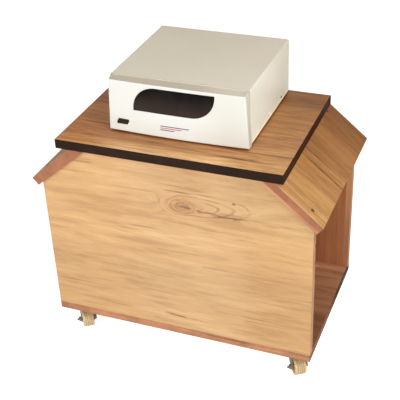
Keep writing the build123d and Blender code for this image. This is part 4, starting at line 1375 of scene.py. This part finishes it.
def make_cover_trim():
    """Screws low on the side walls, and the rolled hems along their lower edges."""
    pan = screw_head_mesh(0.0022, 0.0014)
    for name, rows, material in (("cover_screws", (-0.065, 0.014), COVER_COAT),
                                 ("cover_end_screws", (0.093,), DARK_SCREW)):
        places = [(Vector((UNIT_X + side * UNIT_HALF, y, UNIT_BOTTOM + COVER_SCREW_RISE)), ACROSS * side)
                  for side in SIDES for y in rows]
        screws(name, pan, places, material=material)
    shape = bmesh.new()
    section = ((0.0, 0.0), (0.0007, 0.0002), (0.0009, 0.0009), (0.0007, 0.0016), (0.0, 0.0018))
    for side in SIDES:
        rows = [[shape.verts.new((UNIT_X + side * (UNIT_HALF + x), y, UNIT_BOTTOM + z)) for x, z in section]
                for y in (COVER_FRONT + 0.0004, COVER_FRONT + 0.0010, UNIT_BACK - 0.0010, UNIT_BACK - 0.0004)]
        bridge(shape, rows)
        shape.faces.new(rows[0])
        shape.faces.new(rows[-1])
    as_piece("cover_hems", shape, "trolley", "cream_enamel", COVER_COAT)


FAN_HOLE = 0.0355                            # a hole from the fan's middle, both ways
WALL_SCREW_X = 0.138
WALL_SCREW_DROP = 0.007                      # below the unit's top
SOCKET_HOLE = 0.0205


def make_back_fittings():
    """Screws of the fan, of the back wall and of the socket."""
    fan, socket = middle("fan_frame"), middle("output_socket")
    places = [(fan.x + dx, fan.z + dz) for dx in (-FAN_HOLE, FAN_HOLE) for dz in (-FAN_HOLE, FAN_HOLE)]
    places += [(UNIT_X + dx, UNIT_TOP - WALL_SCREW_DROP) for dx in (-WALL_SCREW_X, 0, WALL_SCREW_X)]
    places += [(UNIT_X - WALL_SCREW_X, UNIT_BOTTOM + 0.010), (UNIT_X + WALL_SCREW_X, UNIT_BOTTOM + 0.008)]
    screws("back_screws", screw_head_mesh(0.0028, 0.0018),
           [(Vector((x, UNIT_BACK, z)), DEPTH) for x, z in places])
    face = high("output_socket").y
    screws("socket_screws", screw_head_mesh(0.0022, 0.0013),
           [(Vector((socket.x + dx, face, socket.z)), DEPTH) for dx in (-SOCKET_HOLE, SOCKET_HOLE)])


STUD_SEAT = 0.0040                           # of the washer, from the stud's start


def make_terminals():
    """Moulded terminal block with a wall round its studs, and a washer and a nut on each stud."""
    block_low, block_high = low("terminal_block"), high("terminal_block")
    width, height = block_high.x - block_low.x, block_high.z - block_low.z
    centre = middle("terminal_block")
    face = block_high.y
    outwards = turning(DEPTH, (centre.x, 0, centre.z), -ACROSS)
    shape = bmesh.new()
    stack(shape, rounded_rectangle(width, height, 0.0020),
          ((0, block_low.y), (0, face - 0.0006), (0.0005, face - 0.0001)), outwards)
    rim_round(shape, rounded_rectangle(width - 0.0150, height - 0.0030, 0.0018),
              ((0, face - 0.0003), (0, face + 0.0040), (0.0003, face + 0.0044), (0.0011, face + 0.0044),
               (0.0014, face + 0.0040), (0.0014, face - 0.0003)), outwards)
    stack(shape, rounded_rectangle(0.0020, height - 0.0044, 0.0009, 3),
          ((0, face - 0.0003), (0, face + 0.0068), (0.0006, face + 0.0074)), outwards)
    body = as_piece("terminal_body", shape, "trolley", "black_plastic", BLACK_PLASTIC)
    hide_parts("terminal_block")
    ends = [(centre.x + side * (width / 2 - 0.0037), face - 0.0001, centre.z) for side in SIDES]
    screws("terminal_screws", screw_head_mesh(0.0021, 0.0012), [(Vector(end), DEPTH) for end in ends])
    studs_low, studs_high = low("battery_studs"), high("battery_studs")
    reach = (studs_high.z - studs_low.z) / 2 / math.cos(math.pi / 6)
    washer = [(0.0030, 0), (0.0060, 0), (0.0063, 0.0003), (0.0063, 0.0008), (0.0060, 0.0011),
              (0.0030, 0.0011)]
    nut = ((0.0005, 0.0011), (0, 0.0015), (0, 0.0050), (0.0005, 0.0055), (0.0021, 0.0055), (0.0021, 0.0011))
    thread = [(0.0028, 0.0062)]
    for turn in range(10):
        thread += [(0.00302, 0.0062 + turn * 0.00095), (0.00318, 0.0066 + turn * 0.00095)]
    thread += [(0.0028, 0.0154)]
    washers, nuts = bmesh.new(), bmesh.new()
    for x in (studs_low.x + reach, studs_high.x - reach):
        place = turning(DEPTH, (x, studs_low.y + STUD_SEAT, centre.z))
        lathe(washers, washer, place, steps=40)
        rim_round(nuts, circle(0.0052, 6), nut, place @ Matrix.Rotation(random.uniform(0, math.pi), 4, "Z"))
        lathe(nuts, thread, place, steps=32)
    as_piece("stud_washers", washers, "trolley", "zinc_steel", ZINC)
    as_piece("stud_nuts", nuts, "trolley", "brass", BRASS)


def make_wall_trim():
    """Collar round the breaker's button, lip of the mains bush and raised rim of the output socket."""
    collar = [(0.0036, -0.0002), (0.0062, -0.0002), (0.0062, 0.0010), (0.0056, 0.0017), (0.0042, 0.0017),
              (0.0036, 0.0012)]
    lip = [(0.0056, -0.0003), (0.0086, -0.0003), (0.0084, 0.0006), (0.0074, 0.0013), (0.0062, 0.0012),
           (0.0056, 0.0006)]
    shape = bmesh.new()
    for node, wall, ring in (("breaker_button", "breaker_body", collar), ("mains_gland", "mains_gland", lip)):
        lathe(shape, ring, turning(DEPTH, (middle(node).x, high(wall).y, middle(node).z)), steps=40)
    as_piece("wall_collars", shape, "trolley", "black_plastic", BLACK_PLASTIC)
    size = high("output_socket") - low("output_socket")
    centre, face = middle("output_socket"), high("output_socket").y
    shape = bmesh.new()
    rim_round(shape, rounded_rectangle(size.x - 0.0030, size.z - 0.0030, 0.0020),
              ((0, face - 0.0002), (0.0002, face + 0.0007), (0.0008, face + 0.0009), (0.0014, face + 0.0006),
               (0.0016, face - 0.0002)), turning(DEPTH, (centre.x, 0, centre.z), -ACROSS))
    as_piece("socket_rim", shape, "trolley", "ivory_plastic", IVORY)


for make in (make_fascia, make_lens, make_button, make_stripes, make_wheels, make_caster_trim,
             make_trolley_screws, make_cover_trim, make_back_fittings, make_terminals, make_wall_trim):
    make()


# ---------------- studio
CAMERA_PLACE = Vector((0.67302, -1.64707, 1.42861))
CAMERA_AZIMUTH = math.radians(22.52)
CAMERA_HEIGHT = math.radians(32.28)
CAMERA_ROLL = math.radians(-2.65)
CAMERA_LENS = 84.156                         # millimetres, on a 36 mm wide sensor


def make_camera():
    back = Vector((math.sin(CAMERA_AZIMUTH) * math.cos(CAMERA_HEIGHT),
                   -math.cos(CAMERA_AZIMUTH) * math.cos(CAMERA_HEIGHT), math.sin(CAMERA_HEIGHT)))
    right = UPRIGHT.cross(back).normalized()
    up = back.cross(right)
    tilted_right = right * math.cos(CAMERA_ROLL) + up * math.sin(CAMERA_ROLL)
    tilted_up = up * math.cos(CAMERA_ROLL) - right * math.sin(CAMERA_ROLL)
    camera = link("camera", bpy.data.cameras.new("camera"))
    camera.data.lens = CAMERA_LENS
    camera.data.sensor_width = 36.0
    turn = Matrix((tilted_right, tilted_up, back)).transposed()
    camera.matrix_world = Matrix.Translation(CAMERA_PLACE) @ turn.to_4x4()
    bpy.context.scene.camera = camera


def seen_directly(tree):
    """1 for rays from the camera, a mirror or through glass, and 0 for light that falls on things."""
    path = add("LightPath", tree=tree).socket.node.outputs
    camera, mirror, glass = (Value(path[f"Is {kind} Ray"]) for kind in ("Camera", "Glossy", "Transmission"))
    return calc("ADD", camera + mirror, glass, clamp=True)


def make_world():
    world = bpy.data.worlds.new("studio")
    bpy.context.scene.world = world
    world.use_nodes = True
    background = world.node_tree.nodes["Background"]
    put(background.inputs["Color"], (1, 1, 1, 1))
    put(background.inputs["Strength"], seen_directly(world.node_tree) * 0.84 + 0.16)


def make_floor():
    shape = bmesh.new()
    bmesh.ops.create_grid(shape, x_segments=8, y_segments=8, size=6.0)
    floor = link("floor", mesh_of("floor", shape))
    material = bpy.data.materials.new("studio floor")
    material.use_nodes = True
    tree = material.node_tree
    tree.nodes.clear()
    diffuse = add("BsdfDiffuse", {"Color": (0.92, 0.92, 0.92, 1)}, tree=tree)
    glow = add("Emission", {"Color": (1, 1, 1, 1), "Strength": seen_directly(tree) * 0.80})
    put(tree.nodes.new("ShaderNodeOutputMaterial").inputs["Surface"], add("AddShader", (diffuse, glow)))
    floor.data.materials.append(material)


LAMP_TARGET = Vector((0.0, -0.1, 0.4))
LAMPS = (("front lamp", (-0.9, -2.2, 1.2), 1.4, 25.0), ("left lamp", (-1.6, -1.2, 1.4), 1.2, 8.0),
         ("near lamp", (1.5, -1.4, 1.0), 1.0, 12.0), ("right lamp", (2.3, -0.6, 1.2), 1.3, 5.0),
         ("high lamp", (1.3, -0.7, 2.1), 1.3, 24.0))


def make_lamp(name, place, size, power):
    data = bpy.data.lights.new(name, "AREA")
    data.shape = "DISK"
    data.size = size
    data.energy = power
    lamp = link(name, data)
    lamp.location = place
    lamp.rotation_euler = (LAMP_TARGET - Vector(place)).to_track_quat("-Z", "Y").to_euler()


make_camera()
make_world()
make_floor()
for row in LAMPS:
    make_lamp(*row)
bpy.context.scene.view_settings.view_transform = "Standard"
